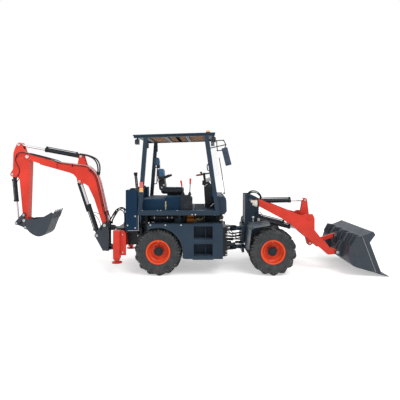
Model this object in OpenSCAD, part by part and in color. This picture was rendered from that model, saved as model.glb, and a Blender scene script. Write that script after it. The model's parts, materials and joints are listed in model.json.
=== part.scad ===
// Articulated backhoe loader: a loader on the pivoting front frame, a digger arm behind.
// Millimetres, +X is the loader's end, +Z is up, the ground is Z = 0.
// Points below are measured from the frames' pivot; place() moves the whole to its centre.

/* [Wheels] */
// Outside diameter of a tyre over its lugs
tyre_d = 990; // [960:2:1000]
// Width of a tyre
tyre_w = 380; // [340:2:384]
// Distance between the middles of the two tyres on an axle
track = 1340; // [1310:2:1344]
// Distance between the axles
wheelbase = 2370; // [2350:2:2400]
// Diameter of the rim's flange
rim_d = 505; // [490:1:512]

/* [Body] */
// Height of the deck's top face
deck_z = 1347; // [1330:1:1360]
// Width of the deck
deck_w = 1630; // [1610:2:1650]
// Height of the roof's underside at its rear edge
roof_z = 2890; // [2840:2:2940]
// Width of the roof
roof_w = 1670; // [1640:2:1720]
// Width of the seat's cushion
seat_w = 480; // [420:2:520]
// Diameter of the steering wheel
steering_wheel_d = 370; // [330:2:400]

/* [Loader] */
// Width of the loader bucket
bucket_w = 1764; // [1720:2:1800]
// Thickness of the loader bucket's shell
bucket_t = 14; // [10:1:18]
// Distance between the outer faces of the two lift arms
arms_w = 900; // [890:2:904]

/* [Digger] */
// Width of the boom's box
boom_w = 180; // [172:2:184]
// Width of the digger bucket
hoe_bucket_w = 450; // [400:2:600]
// Diameter of the swing pins
swing_pin_d = 70; // [60:1:76]

/* [Stabilizers] */
// Diameter of a stabilizer's foot
foot_d = 210; // [180:2:230]
// Height of a folded foot over the ground
foot_z = 252; // [220:2:300]

/* [Hidden] */
$fn = 48;
// Running clearance on a radius at a pin
gap = 0.3;
// Clearance between bolted faces on a slope
bolted = 0.05;
// Reach of the loader bucket from its pin to its cutting edge, and the reach its outline is drawn at
bucket_reach = 905;
bucket_drawn = 905;
bucket_pin_x = 2215;
front_tip = bucket_pin_x + bucket_reach;
rear_tip = -5049;
shift_x = -(front_tip + rear_tip) / 2;
axle_z = tyre_d / 2;
rear_axle_x = -1606;
front_axle_x = rear_axle_x + wheelbase;
wheel_y = track / 2;
wheel_out_y = wheel_y + tyre_w / 2;
skin_y = wheel_out_y + 6;
skin_t = 12;
shaft_z = 545;
hub_r = 70;
// Tyre lugs: height over the carcass, width, slant off the axle, and count on each half of the tread
lug_h = 36;
lug_w = 46;
lug_slant = 40;
lugs = 14;
carcass_r = tyre_d / 2 - lug_h;
rail_y = [280, 310];
rail_z = [620, 900];
deck_x = [-2030, -340];
deck_beam = 95;
deck_under = deck_z - deck_beam;
post_y = [deck_w / 2 - 75, deck_w / 2];
mirror_y = post_y[1] - 25;
cleaner_y = deck_w / 2 - 215;
hood_y = deck_w / 2 - 165;
hood_r = 60;
console_y = [deck_w / 2 - 335, deck_w / 2 - 115];
lever_y = (console_y[0] + console_y[1]) / 2;
tank_x = [-2288, -2033];
tank_y = [500, deck_w / 2 - 3];
tank_z = [935, 1774];
// Stabilizer tube: outer faces in plan, and its wall
stab_x = [-2545, -2408];
stab_y = [deck_w / 2 - 155, deck_w / 2 - 15];
stab_wall = 12;
stab_mid = [(stab_x[0] + stab_x[1]) / 2, (stab_y[0] + stab_y[1]) / 2];
roof_x = [-2127, -428];
roof_rise = 52;
roof_t = 25;
rail_h = 40;
roof_slope = atan(roof_rise / (roof_x[1] - roof_x[0]));
hood_front = -1150;
dash_back = -440;
box_x = [-894, -272];
box_z = [365, 1075];
tail_x = -2560;
swing_x = -2760;
swing_pin_r = swing_pin_d / 2;
swing_lug_r = swing_pin_r + 31;
art_pin_r = 35;
eye_d = 50;
rear_eye = [-2075, 840];
front_eye = [320, 1595];

// Loader pins, side view
arm_pivot = [480, 1480];
bell_pivot = [1618, 1142];
bell_top = [1626, 1506];
bell_low = [1734, 530];
lift_base = [527, 1110];
lift_eye = [1405, 892];
bucket_pin = [bucket_pin_x, 417];
bucket_up = [2320, 715];
arm_y = [arms_w / 2 - 70, arms_w / 2];
lift_y = arm_y[0] - 62;
tower_y = [lift_y - 93, lift_y - 63];
tower_z = 600;
lug_y = [[arm_y[0] - 38, arm_y[0] - 8], [arm_y[1] + 8, arm_y[1] + 38]];
lamp_y = arm_y[1] + 117;
bell_y = [38, 62];

// Digger pins, side view
boom_foot = [-2900, 946];
boom_cyl_base = [-3074, 715];
boom_cyl_eye = [-3474, 1931];
boom_tip = [-4648, 2488];
dip_cyl_base = [-3447, 2497];
dip_cyl_eye = [-4847, 2760];
hoe_cyl_base = [-4989, 2093];
hoe_pin = [-4703, 1055];
guide_pin = [-4726, 1174];
link_joint = [-4891, 989];
link_pin = [-4671, 902];

// Steering cylinders, plan
steer_base = [-420, 330];
steer_eye = [240, 250];
steer_z = 560;

paint_red = "#e2401f";
paint_rim = "#e8501a";
navy = "#2b3648";
coal = "#33373d";
black = "#1d1f22";
rubber = "#25262a";
chrome = "#c9ced3";
lamp_white = "#e9edf0";
glass = "#9fc3cf";

function u(t) = [cos(t), sin(t)];
function left_normal(a, b) = [a.y - b.y, b.x - a.x] / norm(b - a);
function turned(p) = [for (i = [len(p) - 1:-1:0]) p[i]];
function beside(p, t) = [for (i = [0:len(p) - 1])
    let (n1 = i > 0 ? left_normal(p[i - 1], p[i]) : left_normal(p[0], p[1]),
         n2 = i < len(p) - 1 ? left_normal(p[i], p[i + 1]) : n1)
    p[i] + t * (n1 + n2) / (1 + n1 * n2)];
function strip(p, t) = concat(p, turned(beside(p, t)));
function roof_under(x) = roof_z + (x - roof_x[0]) * roof_rise / (roof_x[1] - roof_x[0]);
function ang(a, b) = atan2(b.y - a.y, b.x - a.x);

module place() translate([shift_x, 0, 0]) children();

module both_sides() {
  children();
  mirror([0, 1, 0]) children();
}

module box(x, y, z) translate([x[0], y[0], z[0]]) cube([x[1] - x[0], y[1] - y[0], z[1] - z[0]]);

module along_y(y0, y1) translate([0, y1, 0]) rotate([90, 0, 0]) linear_extrude(y1 - y0) children();

module pin_y(p, r, y0, y1) translate([p.x, y0, p.y]) rotate([-90, 0, 0]) cylinder(r = r, h = y1 - y0);

module pin_z(p, r, z0, z1) translate([p.x, p.y, z0]) cylinder(r = r, h = z1 - z0);

module rod3(a, b, r) {
  d = b - a;
  translate(a) rotate([0, acos(d.z / norm(d)), atan2(d.y, d.x)]) cylinder(r = r, h = norm(d));
}

module bar2d(a, ra, b, rb) {
  d = norm(b - a);
  t = ang(a, b);
  k = acos((ra - rb) / d);
  translate(a) circle(ra);
  translate(b) circle(rb);
  polygon([a + ra * u(t + k), b + rb * u(t + k), b + rb * u(t - k), a + ra * u(t - k)]);
}

// A cylinder's barrel along +X: eye at the origin, bored for its pin and open at the front
module barrel(l, r, eye_r, eye_w, pin_r, rod_r) difference() {
  union() {
    rotate([90, 0, 0]) cylinder(r = eye_r, h = eye_w, center = true);
    translate([eye_r * 0.7, 0, 0]) rotate([0, 90, 0]) cylinder(r = r, h = l - eye_r * 0.7);
    translate([l - 45, 0, 0]) rotate([0, 90, 0]) cylinder(r = r + 5, h = 45);
    translate([eye_r + 25, 0, 0]) rotate([0, 90, 0]) cylinder(r = r + 4, h = 30);
    box([eye_r + 62, eye_r + 100], [-14, 14], [r - 6, r + 30]);
    box([l - 40, l - 6], [-14, 14], [r - 6, r + 30]);
    translate([eye_r + 80, 0, r + 17]) rotate([0, 90, 0]) cylinder(r = 9, h = l - eye_r - 105);
  }
  rotate([90, 0, 0]) cylinder(r = pin_r + gap, h = eye_w + 2, center = true);
  translate([80, 0, 0]) rotate([0, 90, 0]) cylinder(r = rod_r + gap, h = l);
}

// A cylinder's rod along +X, from inside the barrel to the middle of its eye
module rod(x_in, l, r, eye_r, eye_w) {
  translate([x_in, 0, 0]) rotate([0, 90, 0]) cylinder(r = r, h = l - x_in);
  translate([l, 0, 0]) rotate([90, 0, 0]) cylinder(r = eye_r, h = eye_w, center = true);
  translate([l - eye_r - 22, 0, 0]) rotate([0, 90, 0]) cylinder(r = r + 6, h = 30);
}

module lay(p0, p1, y = 0) translate([p0.x, y, p0.y]) rotate([0, -ang(p0, p1), 0]) children();

module lay_flat(p0, p1, z) translate([p0.x, p0.y, z]) rotate([0, 0, ang(p0, p1)]) children();

// Rear frame

module rear_chassis() place() color(black) {
  difference() {
    union() {
      both_sides() box([-2540, -230], rail_y, rail_z);
      box([-255, -205], [-500, 500], [330, 960]);
      for (z = [395, 470, 825, 900])
        translate([0, 0, z]) linear_extrude(25) bar2d([-205, 0], 150, [0, 0], 75);
      both_sides() box([-520, -380], [285, 375], [505, 620]);
    }
    both_sides() box([-260, -200], [220, 430], [505, 615]);
    both_sides() box([-490, -370], [280, 380], [530, 590]);
    translate([-300, 0, shaft_z]) rotate([0, 90, 0]) cylinder(r = 60, h = 130);
  }
  pin_z([0, 0], art_pin_r, 388, 502);
  pin_z([0, 0], art_pin_r, 818, 932);
  both_sides() pin_z(steer_base, 15, 506, 619);
  box([tail_x, -2520], [-460, 460], [400, 935]);
  box([tail_x, -2000], [-460, 460], [905, 935]);
  box([-2030, -2000], [-460, 460], [640, 920]);
  both_sides() {
    along_y(430, 460) difference() {
      polygon([[tail_x, 581], [-2000, 581], [-2000, 935], [tail_x, 935]]);
      translate(rear_eye) circle(eye_d / 2);
    }
    box([tank_x[0], -2125], [430, tank_y[1] - 12], [905, tank_z[0]]);
    for (x = [-1960, -1130, -400])
      box([x, x + 60], [rail_y[0], rail_y[0] + 60], [rail_z[1] - 5, deck_under]);
    for (x = [-800, -330])
      box([x, x + 60], [rail_y[1] - 5, 520], [700, 800]);
  }
}

// Upper and lower lug with the swing pins, welded to the tail plate
module swing_lugs() place() color(black) for (z = [420, 860]) {
  translate([0, 0, z]) linear_extrude(40) {
    translate([swing_x, 0]) circle(swing_lug_r);
    polygon([[swing_x, swing_lug_r], [-2625, swing_lug_r], [tail_x, 140], [tail_x, -140], [-2625, -swing_lug_r],
      [swing_x, -swing_lug_r]]);
  }
  pin_z([swing_x, 0], swing_pin_r, z - 38, z + 78);
}

module engine() place() color("#6b6f73") {
  box([-1250, -650], [-225, 225], [720, 1230]);
  box([-1480, -1245], [-160, 160], [640, 900]);
  both_sides() {
    box([-1200, -1110], [220, rail_y[0]], [780, 860]);
    box([-790, -700], [220, rail_y[0]], [780, 860]);
  }
}

module air_cleaner() place() color(black) {
  translate([-1765, -cleaner_y, 1185]) rotate([0, 90, 0]) cylinder(r = 56, h = 410);
  translate([-1790, -cleaner_y, 1185]) rotate([0, 90, 0]) cylinder(r = 40, h = 30);
  box([-1580, -1540], [-cleaner_y - 40, -cleaner_y + 40], [1200, deck_z - 12]);
}

// An axle along Y with its hubs, the pinion's shaft reaching along X
module axle(x, shaft_to, seat_y, seat_z) {
  translate([x, 0, axle_z]) rotate([90, 0, 0]) cylinder(r = 75, h = 2 * (wheel_y - 180), center = true);
  translate([x, 0, axle_z]) sphere(r = 165);
  both_sides() {
    pin_y([x, axle_z], 120, wheel_y - 190, wheel_y - 20.5);
    pin_y([x, axle_z], hub_r, wheel_y - 25, wheel_y + 75);
    box([x - 70, x + 70], [seat_y - 40, seat_y + 40], [axle_z + 20, seat_z]);
  }
  translate([min(x, shaft_to), 0, shaft_z]) rotate([0, 90, 0]) cylinder(r = 28, h = abs(shaft_to - x));
}

module rear_axle() place() color(black) axle(rear_axle_x, -45, (rail_y[0] + rail_y[1]) / 2, rail_z[0]);

module deck() place() color(navy) {
  h = deck_w / 2;
  box(deck_x, [-h, h], [deck_z - 12, deck_z]);
  both_sides() box(deck_x, [h - 40, h], [deck_under, deck_z]);
  for (x = [deck_x[0], -1960, -1130, -400])
    box([x, x + 60], [-h, h], [deck_under, deck_z]);
}

// A length of the hood along X, its two upper edges round
module hood_length(x, top) translate([x[0], 0, 0]) rotate([90, 0, 90]) linear_extrude(x[1] - x[0]) {
  translate([-hood_y, deck_z]) square([2 * hood_y, top - deck_z - hood_r]);
  translate([-hood_y + hood_r, deck_z]) square([2 * (hood_y - hood_r), top - deck_z]);
  for (y = [-hood_y + hood_r, hood_y - hood_r])
    translate([y, top - hood_r]) circle(hood_r);
}

module hood() place() color(navy) {
  hood_length([-1950, -1464], 1575);
  hood_length([-1470, hood_front], 1628);
}

// Lower side box with its two steps, and the fender over the rear wheel
module side_panel() {
  arch = tyre_d / 2 + 12;
  difference() {
    union() {
      box(box_x, [520, skin_y + skin_t], box_z);
      along_y(skin_y, skin_y + skin_t) difference() {
        polygon([[-1825, 1075], [-1825, 930], [-1606, 700], [-1060, box_z[0]], [box_x[0] + 5, box_z[0]],
          [box_x[0] + 5, 1075]]);
        translate([rear_axle_x, axle_z]) circle(arch, $fn = 96);
      }
      box([-1825, box_x[0] + 5], [480, skin_y + 5], [1050, 1062]);
    }
    for (z = [[766, 1034], [422, 673]])
      box([-871, -484], [620, skin_y + skin_t + 1], z);
  }
  for (z = [704, 350])
    box([-895, -470], [skin_y - 6, skin_y + skin_t + 6], [z, z + 48]);
}

module side_panels() place() color(navy) both_sides() side_panel();

module tanks() place() color(navy) both_sides() {
  r = 40;
  x = [tank_x[0] + r, tank_x[1] - r];
  y = [tank_y[0] + r, tank_y[1] - r];
  box(tank_x, y, tank_z);
  box(x, tank_y, tank_z);
  for (i = x, j = y)
    pin_z([i, j], r, tank_z[0], tank_z[1]);
  pin_z([(x[0] + x[1]) / 2, (y[0] + y[1]) / 2], 55, tank_z[1] - 4, tank_z[1] + 31);
}

module side_console() place() color(black) along_y(-console_y[1], -console_y[0])
  polygon([[hood_front, deck_z], [hood_front, 1640], [-1135, 1657], [-960, 1657], [-909, 1600],
    [-909, deck_z]]);

module seat() place() color("#26282b") {
  w = seat_w / 2;
  box([-1450, -1170], [-150, 150], [1628, 1670]);
  along_y(-w, w) polygon([[-1640, 1665], [-1660, 1700], [-1640, 1765], [-1560, 1775], [-1180, 1790],
    [-1115, 1780], [-1095, 1740], [-1115, 1680], [-1150, 1665]]);
  along_y(-w, w) polygon([[-1530, 1740], [-1555, 2000], [-1592, 2235], [-1615, 2262], [-1690, 2262], [-1722, 2235],
    [-1694, 2000], [-1664, 1740], [-1600, 1690]]);
  along_y(-135, 135) polygon([[-1672, 2290], [-1680, 2455], [-1706, 2486], [-1768, 2486], [-1795, 2450],
    [-1785, 2290]]);
  both_sides() {
    pin_z([-1705, 70], 9, 2255, 2295);
    along_y(w - 4, w + 56) polygon([[-1700, 1925], [-1700, 1990], [-1450, 2102], [-1420, 2090], [-1425, 2048],
      [-1650, 1930]]);
  }
}

module steering_column() place() color(black) {
  hub = [-665, 0, 2085];
  tilt = -9;
  along_y(-110, 110) polygon([[-640, deck_z], [-672, 1890], [-640, 1920], [-560, 1930], [dash_back, 1790],
    [dash_back, deck_z]]);
  translate(hub) rotate([0, tilt, 0]) {
    translate([0, 0, -210]) cylinder(r = 28, h = 210);
    cylinder(r = 45, h = 22);
    translate([0, 0, 12]) rotate_extrude() translate([steering_wheel_d / 2 - 14, 0]) circle(14, $fn = 24);
    for (a = [30, 150, 270])
      rotate([0, 0, a]) box([20, steering_wheel_d / 2 - 14], [-14, 14], [6, 16]);
  }
}

module dash() place() color(navy) along_y(-post_y[0] + 5, post_y[0] - 5)
  polygon([[deck_x[1], 1262], [-230, 1262], [-185, 1330], [-192, 1540], [-205, 1600], [-235, 1636],
    [dash_back, 1636], [dash_back, deck_z], [deck_x[1], deck_z]]);

// Foot and head of a canopy post: side view, running up to the roof rails
rear_post = [[-1988, deck_z], [-1867, roof_under(-1867) - 5]];
front_post = [[-384, deck_z], [-610, roof_under(-610) - 5]];
post_lean = atan((front_post[1].x - front_post[0].x) / (front_post[1].y - front_post[0].y));

module post(p) along_y(post_y[0], post_y[1])
  polygon([p[0] - [42, 0], p[0] + [42, 0], p[1] + [42, 0], p[1] - [42, 0]]);

module canopy_frame() place() color(black) {
  both_sides() {
    for (p = [rear_post, front_post])
      post(p);
    along_y(post_y[0], post_y[1])
      polygon([for (q = [[roof_x[0] + 15, -rail_h], [roof_x[1] - 15, -rail_h], [roof_x[1] - 15, -bolted],
        [roof_x[0] + 15, -bolted]]) [q[0], roof_under(q[0]) + q[1]]]);
  }
  for (x = [-1902, -1500, -1050, -645])
    along_y(-post_y[0] - 5, post_y[0] + 5)
      polygon([[x, roof_under(x) - rail_h], [x + 70, roof_under(x + 70) - rail_h],
        [x + 70, roof_under(x + 70) - bolted], [x, roof_under(x) - bolted]]);
}

module roof() place() color(navy) along_y(-roof_w / 2, roof_w / 2)
  polygon([[roof_x[0], roof_under(roof_x[0])], [roof_x[1], roof_under(roof_x[1])],
    [roof_x[1], roof_under(roof_x[1]) + roof_t - 8], [roof_x[1] - 12, roof_under(roof_x[1] - 12) + roof_t],
    [roof_x[0] + 12, roof_under(roof_x[0] + 12) + roof_t], [roof_x[0], roof_under(roof_x[0]) + roof_t - 8]]);

module windscreen() place() color(glass) {
  half = post_y[0] - gap;
  bulge = 180;
  r = (half * half + bulge * bulge) / (2 * bulge);
  intersection() {
    translate([front_post[0].x, 0, deck_z]) rotate([0, post_lean, 0]) translate([bulge - r, 0, 0])
      difference() {
        cylinder(r = r, h = 1800, $fn = 160);
        translate([0, 0, -1]) cylinder(r = r - 6, h = 1802, $fn = 160);
      }
    box([-900, 0], [-half, half], [1636, roof_under(-700) - rail_h - 5]);
  }
}

module work_lamps() place() color(coal) both_sides() for (x = [-2100, -496]) {
  along_y(post_y[0] - 110, post_y[0] - 80) polygon([[x + 20, roof_under(x) - 60], [x + 50, roof_under(x) - 60],
    [x + 50, roof_under(x + 50) - bolted], [x + 20, roof_under(x + 20) - bolted]]);
  box([x, x + 70], [post_y[0] - 150, post_y[0] - 40], [roof_under(x) - 165, roof_under(x) - 55]);
}

module tail_lamps() place() color("#b3261b") both_sides()
  box([-1990, -1916], [deck_w / 2, deck_w / 2 + 24], [1735, 1945]);

module mirror_right() place() color(black) {
  translate([-195, -mirror_y, 2468]) rotate([0, -14, 0]) box([-60, 60], [-22, 22], [-185, 185]);
  difference() {
    for (wire = [[[-580, 2790], [-255, 2806], [-210, 2715], [-235, 2620]], [[-570, 2635], [-210, 2715]],
      [[-400, 2799], [-385, 2590], [-255, 2600]]])
      for (i = [1:len(wire) - 1]) {
        rod3([wire[i - 1].x, -mirror_y, wire[i - 1].y], [wire[i].x, -mirror_y, wire[i].y], 10);
        translate([wire[i].x, -mirror_y, wire[i].y]) sphere(r = 14);
      }
    mirror([0, 1, 0]) post(front_post);
  }
}

module beacon() place() color("#e8a41c") translate([-574, -mirror_y + 100, roof_under(-574) + roof_t + bolted])
  rotate([0, -roof_slope, 0]) {
    cylinder(r = 52, h = 14);
    translate([0, 0, 12]) cylinder(r1 = 46, r2 = 36, h = 46);
  }

module control_levers() place() color(black) {
  for (lever = [[[-1105, 1660], [-1135, 1855], [-1147, 1935]], [[-966, 1660], [-955, 1890], [-951, 1985]]]) {
    rod3([lever[0].x, -lever_y, lever[0].y], [lever[1].x, -lever_y, lever[1].y], 9);
    rod3([lever[1].x, -lever_y, lever[1].y], [lever[2].x, -lever_y, lever[2].y], 17);
    translate([lever[2].x, -lever_y, lever[2].y]) sphere(r = 20, $fn = 24);
    translate([lever[0].x, -lever_y, 1657]) cylinder(r1 = 32, r2 = 14, h = 60);
  }
  box([-2250, -2130], [-180, 180], [935, 1700]);
  for (y = [-90, 90]) {
    rod3([-2190, y, 1695], [-2225, y, 2090], 10);
    translate([-2226, y, 2100]) sphere(r = 26, $fn = 24);
  }
}

module stabilizer_housings() place() color(paint_red) both_sides() {
  difference() {
    box(stab_x, stab_y, [350, 930]);
    box([stab_x[0] + stab_wall, stab_x[1] - stab_wall], [stab_y[0] + stab_wall, stab_y[1] - stab_wall], [340, 915]);
  }
  along_y(stab_mid.y - 25, stab_mid.y + 5) polygon([[stab_x[1] - 5, 410], [-2290, 410], [-2290, 860], [-2335, 925],
    [stab_x[1] - 5, 925]]);
  box([-2400, -2300], [460, stab_mid.y - 20], [600, 860]);
}

// Sliding leg and foot, folded
module stabilizer_leg() {
  fit = stab_wall + 0.4;
  box([stab_x[0] + fit, stab_x[1] - fit], [stab_y[0] + fit, stab_y[1] - fit], [foot_z + 60, 900]);
  pin_z(stab_mid, 40, foot_z + 10, foot_z + 70);
  pin_z(stab_mid, foot_d / 2, foot_z, foot_z + 22);
}

module stabilizer_leg_right() place() color(paint_red) mirror([0, 1, 0]) stabilizer_leg();

module stabilizer_leg_left() place() color(paint_red) stabilizer_leg();

// Wheels

// A bar of the tread, from the middle of the crown out over the shoulder: +X is outwards, the axle along Z
module lug() rotate([lug_slant, 0, 0]) rotate([90, 0, 0]) linear_extrude(lug_w, center = true)
  polygon([[carcass_r - 65, -8], [tyre_d / 2 + 5, -8], [tyre_d / 2 + 5, tyre_w * 0.37],
    [carcass_r - 12, tyre_w * 0.52], [carcass_r - 65, tyre_w * 0.54]]);

module tyre(x, side) place() color(rubber) translate([x, side * wheel_y, axle_z]) rotate([90, 0, 0]) {
  w = tyre_w / 2;
  r = carcass_r;
  half = [[235, 164], [rim_d / 2 + 4, 164], [rim_d / 2 + 4, 176], [330, w], [r - 60, w - 8], [r - 14, w - 44],
    [r, w - 90]];
  rotate_extrude($fn = 48) polygon(concat(half, [for (p = turned(half)) [p[0], -p[1]]]));
  intersection() {
    cylinder(r = tyre_d / 2, h = tyre_w, center = true, $fn = 96);
    for (i = [0:lugs - 1]) {
      rotate([0, 0, (i + 0.5) * 360 / lugs - 90]) lug();
      rotate([0, 0, i * 360 / lugs - 90]) mirror([0, 0, 1]) lug();
    }
  }
}

// Section of a rim: radius, and distance outwards from the wheel's middle
rim_section = [[hub_r + gap, -20], [222, -20], [222, -176], [rim_d / 2, -176], [rim_d / 2, -166], [234.7, -166],
  [234.7, 166], [rim_d / 2, 166], [rim_d / 2, 176], [222, 172], [222, 40], [165, -4], [hub_r + gap, -4]];

module rim(x, side) place() color(paint_rim) translate([x, side * wheel_y, axle_z]) rotate([side * -90, 0, 0])
  rotate_extrude($fn = 72) polygon(rim_section);

module tyre_rear_right() tyre(rear_axle_x, -1);

module tyre_rear_left() tyre(rear_axle_x, 1);

module tyre_front_right() tyre(front_axle_x, -1);

module tyre_front_left() tyre(front_axle_x, 1);

module rim_rear_right() rim(rear_axle_x, -1);

module rim_rear_left() rim(rear_axle_x, 1);

module rim_front_right() rim(front_axle_x, -1);

module rim_front_left() rim(front_axle_x, 1);

// Front frame

module front_chassis() place() color(black) {
  difference() {
    union() {
      box([170, 220], [-330, 330], [380, 960]);
      for (z = [423, 853])
        translate([0, 0, z]) linear_extrude(44) bar2d([185, 0], 120, [0, 0], 75);
    }
    for (z = [423, 853])
      pin_z([0, 0], art_pin_r + gap, z - 1, z + 45);
    translate([160, 0, shaft_z]) rotate([0, 90, 0]) cylinder(r = 60, h = 70);
    both_sides() box([160, 230], [190, 335], [505, 615]);
  }
  both_sides() {
    along_y(tower_y[0], tower_y[1]) difference() {
      polygon([[246, 1652], [363, 1652], [560, 1560], [545, 1239], [640, 1100], [900, 900], [900, tower_z], [215, tower_z],
        [215, 955], [240, 1048]]);
      translate(front_eye) circle(eye_d / 2);
    }
    pin_y(lift_base, 25, tower_y[1] - 5, lift_y + 52);
    pin_y(lift_base, 38, lift_y + 48, lift_y + 55);
    box([200, 330], [tower_y[0] - 35, tower_y[1]], [tower_z - 10, tower_z + 25]);
  }
  box([250, 280], [-tower_y[0] - 5, tower_y[0] + 5], [950, 1640]);
  box([215, 590], [-tower_y[0] - 5, tower_y[0] + 5], [tower_z, tower_z + 30]);
  pin_y(arm_pivot, 35, -arm_y[1] - 8, arm_y[1] + 8);
  both_sides() pin_y(arm_pivot, 52, arm_y[1] + 6, arm_y[1] + 14);
}

module front_axle() place() color(black) axle(front_axle_x, 45, (tower_y[0] + tower_y[1]) / 2, tower_z);

module front_fenders() place() color(coal) both_sides() {
  along_y(480, wheel_out_y) polygon(strip([[690, 1110], [318, 1050], [264, 1005], [212, 560]], 12));
  box([300, 380], [tower_y[1], 485], [1015, 1048]);
}

module head_lamps() place() color(lamp_white) both_sides() {
  box([335, 375], [tower_y[1], lamp_y + 33], [1500, 1545]);
  box([370, 410], [lamp_y - 32, lamp_y + 33], [1440, 1545]);
  translate([405, lamp_y, 1475]) rotate([0, 90, 0]) cylinder(r1 = 62, r2 = 80, h = 85);
}

// Loader

arm_outline = [[415, 1540], [555, 1549], [1341, 1238], [1497, 1200], [1545, 1232], [1690, 1232], [1731, 1144],
  [1731, 894], [1860, 728], [1964, 635], [2058, 510], [2195, 470], [2265, 440], [2262, 385], [2172, 368], [2016, 360],
  [1840, 510], [1424, 850], [1237, 1000], [1029, 1135], [546, 1393], [430, 1415]];

module lift_arms() place() color(paint_red) {
  difference() {
    union() {
      both_sides() along_y(arm_y[0], arm_y[1]) polygon(arm_outline);
      both_sides() pin_y(lift_eye, 42, arm_y[1] - 5, arm_y[1] + 10);
      both_sides() pin_y(bell_pivot, 45, arm_y[1] - 5, arm_y[1] + 10);
      pin_y(bell_pivot, 60, -arm_y[0] - 5, arm_y[0] + 5);
    }
    pin_y(arm_pivot, 35 + gap, -1000, 1000);
    pin_y(bucket_pin, 32 + gap, -1000, 1000);
  }
}

module bell_crank() place() color(paint_red) {
  difference() {
    union() {
      both_sides() along_y(bell_y[0], bell_y[1]) {
        bar2d(bell_top, 48, bell_pivot, 100);
        bar2d(bell_pivot, 100, bell_low, 52);
      }
      pin_y(bell_pivot, 92, -bell_y[1], bell_y[1]);
    }
    pin_y(bell_pivot, 60 + gap, -100, 100);
  }
  both_sides() pin_y(bell_top, 28, bell_y[1] - 7, bell_y[1] + 7);
  both_sides() pin_y(bell_low, 28, bell_y[1] - 7, bell_y[1] + 7);
}

module loader_link() place() color(paint_red) along_y(-26, 26) difference() {
  bar2d(bell_low, 42, bucket_up, 42);
  translate(bucket_up) circle(25 + gap);
}

// Side view of the loader bucket: distance ahead of its pin, and height
function ahead(x) = bucket_pin.x + x * bucket_reach / bucket_drawn;
bucket_path = [for (p = [[585, 925], [365, 838], [235, 815], [157, 680], [115, 590], [91, 490], [89, 400], [115, 305],
  [180, 225], [235, 198], [bucket_drawn, 5]]) [ahead(p[0]), p[1]]];
bucket_mid = beside(bucket_path, bucket_t / 2);
// Front edge of a side plate, and the outer edge of the ribs that stiffen the spill guard
side_edge = [[ahead(756), 78], [ahead(521), 705], [ahead(635), 862], [ahead(590), 930]];
rib_edge = beside(bucket_path, -48);

module loader_bucket() place() color(coal) {
  w = bucket_w / 2;
  along_y(-w, w) polygon(strip(bucket_path, bucket_t));
  along_y(-w, w) polygon([[ahead(665), 70], [ahead(675), 92], [ahead(775), 62], [front_tip, 10], [front_tip, 5]]);
  both_sides() {
    along_y(w - 20, w - 6) polygon(concat([for (i = [1:9]) bucket_path[i]], side_edge));
    along_y(w - 20, w) polygon(concat([[ahead(368), 830], [ahead(653), 80]], side_edge));
    for (y = [140, 250, 560, 690, 800])
      along_y(y, y + 16) polygon([for (i = [1:4]) bucket_mid[i], rib_edge[3], rib_edge[2]]);
    for (y = lug_y)
      along_y(y[0], y[1]) {
        translate(bucket_pin) circle(54);
        polygon([bucket_pin + [-20, 50], [2280, 640], bucket_mid[3], bucket_mid[4], bucket_mid[5], bucket_mid[6],
          bucket_mid[7], bucket_pin + [-10, -53]]);
      }
    pin_y(bucket_pin, 32, lug_y[0][0], lug_y[1][1] + 7);
    along_y(32, 57) {
      translate(bucket_up) circle(48);
      polygon([bucket_up + [-40, -26], [2290, 560], bucket_mid[5], bucket_mid[4], bucket_mid[3], bucket_mid[2],
        bucket_up + [-26, 40]]);
    }
  }
  pin_y(bucket_up, 25, -57, 57);
}

module lift_barrels() place() color(black) both_sides() lay(lift_base, lift_eye, lift_y)
  barrel(720, 42, 45, 87, 25, 24);

module lift_rods() place() color(chrome) both_sides() lay(lift_base, lift_eye, lift_y) {
  l = norm(lift_eye - lift_base);
  rod(150, l, 24, 44, 80);
  translate([l, 0, 0]) rotate([-90, 0, 0]) cylinder(r = 25, h = arm_y[0] - lift_y - 4);
}

module tilt_barrel() place() color(black) lay(arm_pivot, bell_top) barrel(830, 50, 62, 110, 35, 27);

module tilt_rod() place() color(chrome) lay(arm_pivot, bell_top) rod(250, norm(bell_top - arm_pivot), 27, 42, 50);

// Digger

module swing_bracket() place() color(coal) {
  difference() {
    union() {
      both_sides() along_y(97, 127) {
        translate(boom_foot) circle(62);
        translate(boom_cyl_base) circle(56);
        polygon([boom_foot + [-50, 38], boom_cyl_base + [-50, 26], boom_cyl_base + [-30, -48], [-2945, 378],
          [-2815, 365], [-2815, 940], boom_foot + [50, 38]]);
      }
      box([-2940, -2815], [-100, 100], [366, 400]);
      box([-2880, -2840], [-100, 100], [380, 640]);
      for (z = [390, 463, 830, 903])
        translate([0, 0, z]) linear_extrude(27) {
          translate([swing_x, 0]) circle(78);
          polygon([[swing_x, 78], [-2822, 127], [-2822, -127], [swing_x, -78]]);
        }
    }
    pin_z([swing_x, 0], swing_pin_r + gap, 300, 1000);
  }
  pin_y(boom_foot, 30, -137, 137);
  pin_y(boom_cyl_base, 25, -135, 135);
}

boom_outline = [[-4370, 2454], [-3983, 2371], [-3528, 2308], [-3337, 2285], [-3255, 2244], [-3150, 2150],
  [-3082, 2050], [-3027, 1879], [-2909, 1351], [-2845, 1000], [-2840, 946], [-2875, 893], [-2925, 893], [-2960, 960],
  [-3145, 1533], [-3282, 1825], [-3364, 1879], [-3440, 1876], [-3500, 1880], [-3530, 1925], [-3546, 2007],
  [-3610, 2089], [-3692, 2125], [-4370, 2316]];

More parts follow.
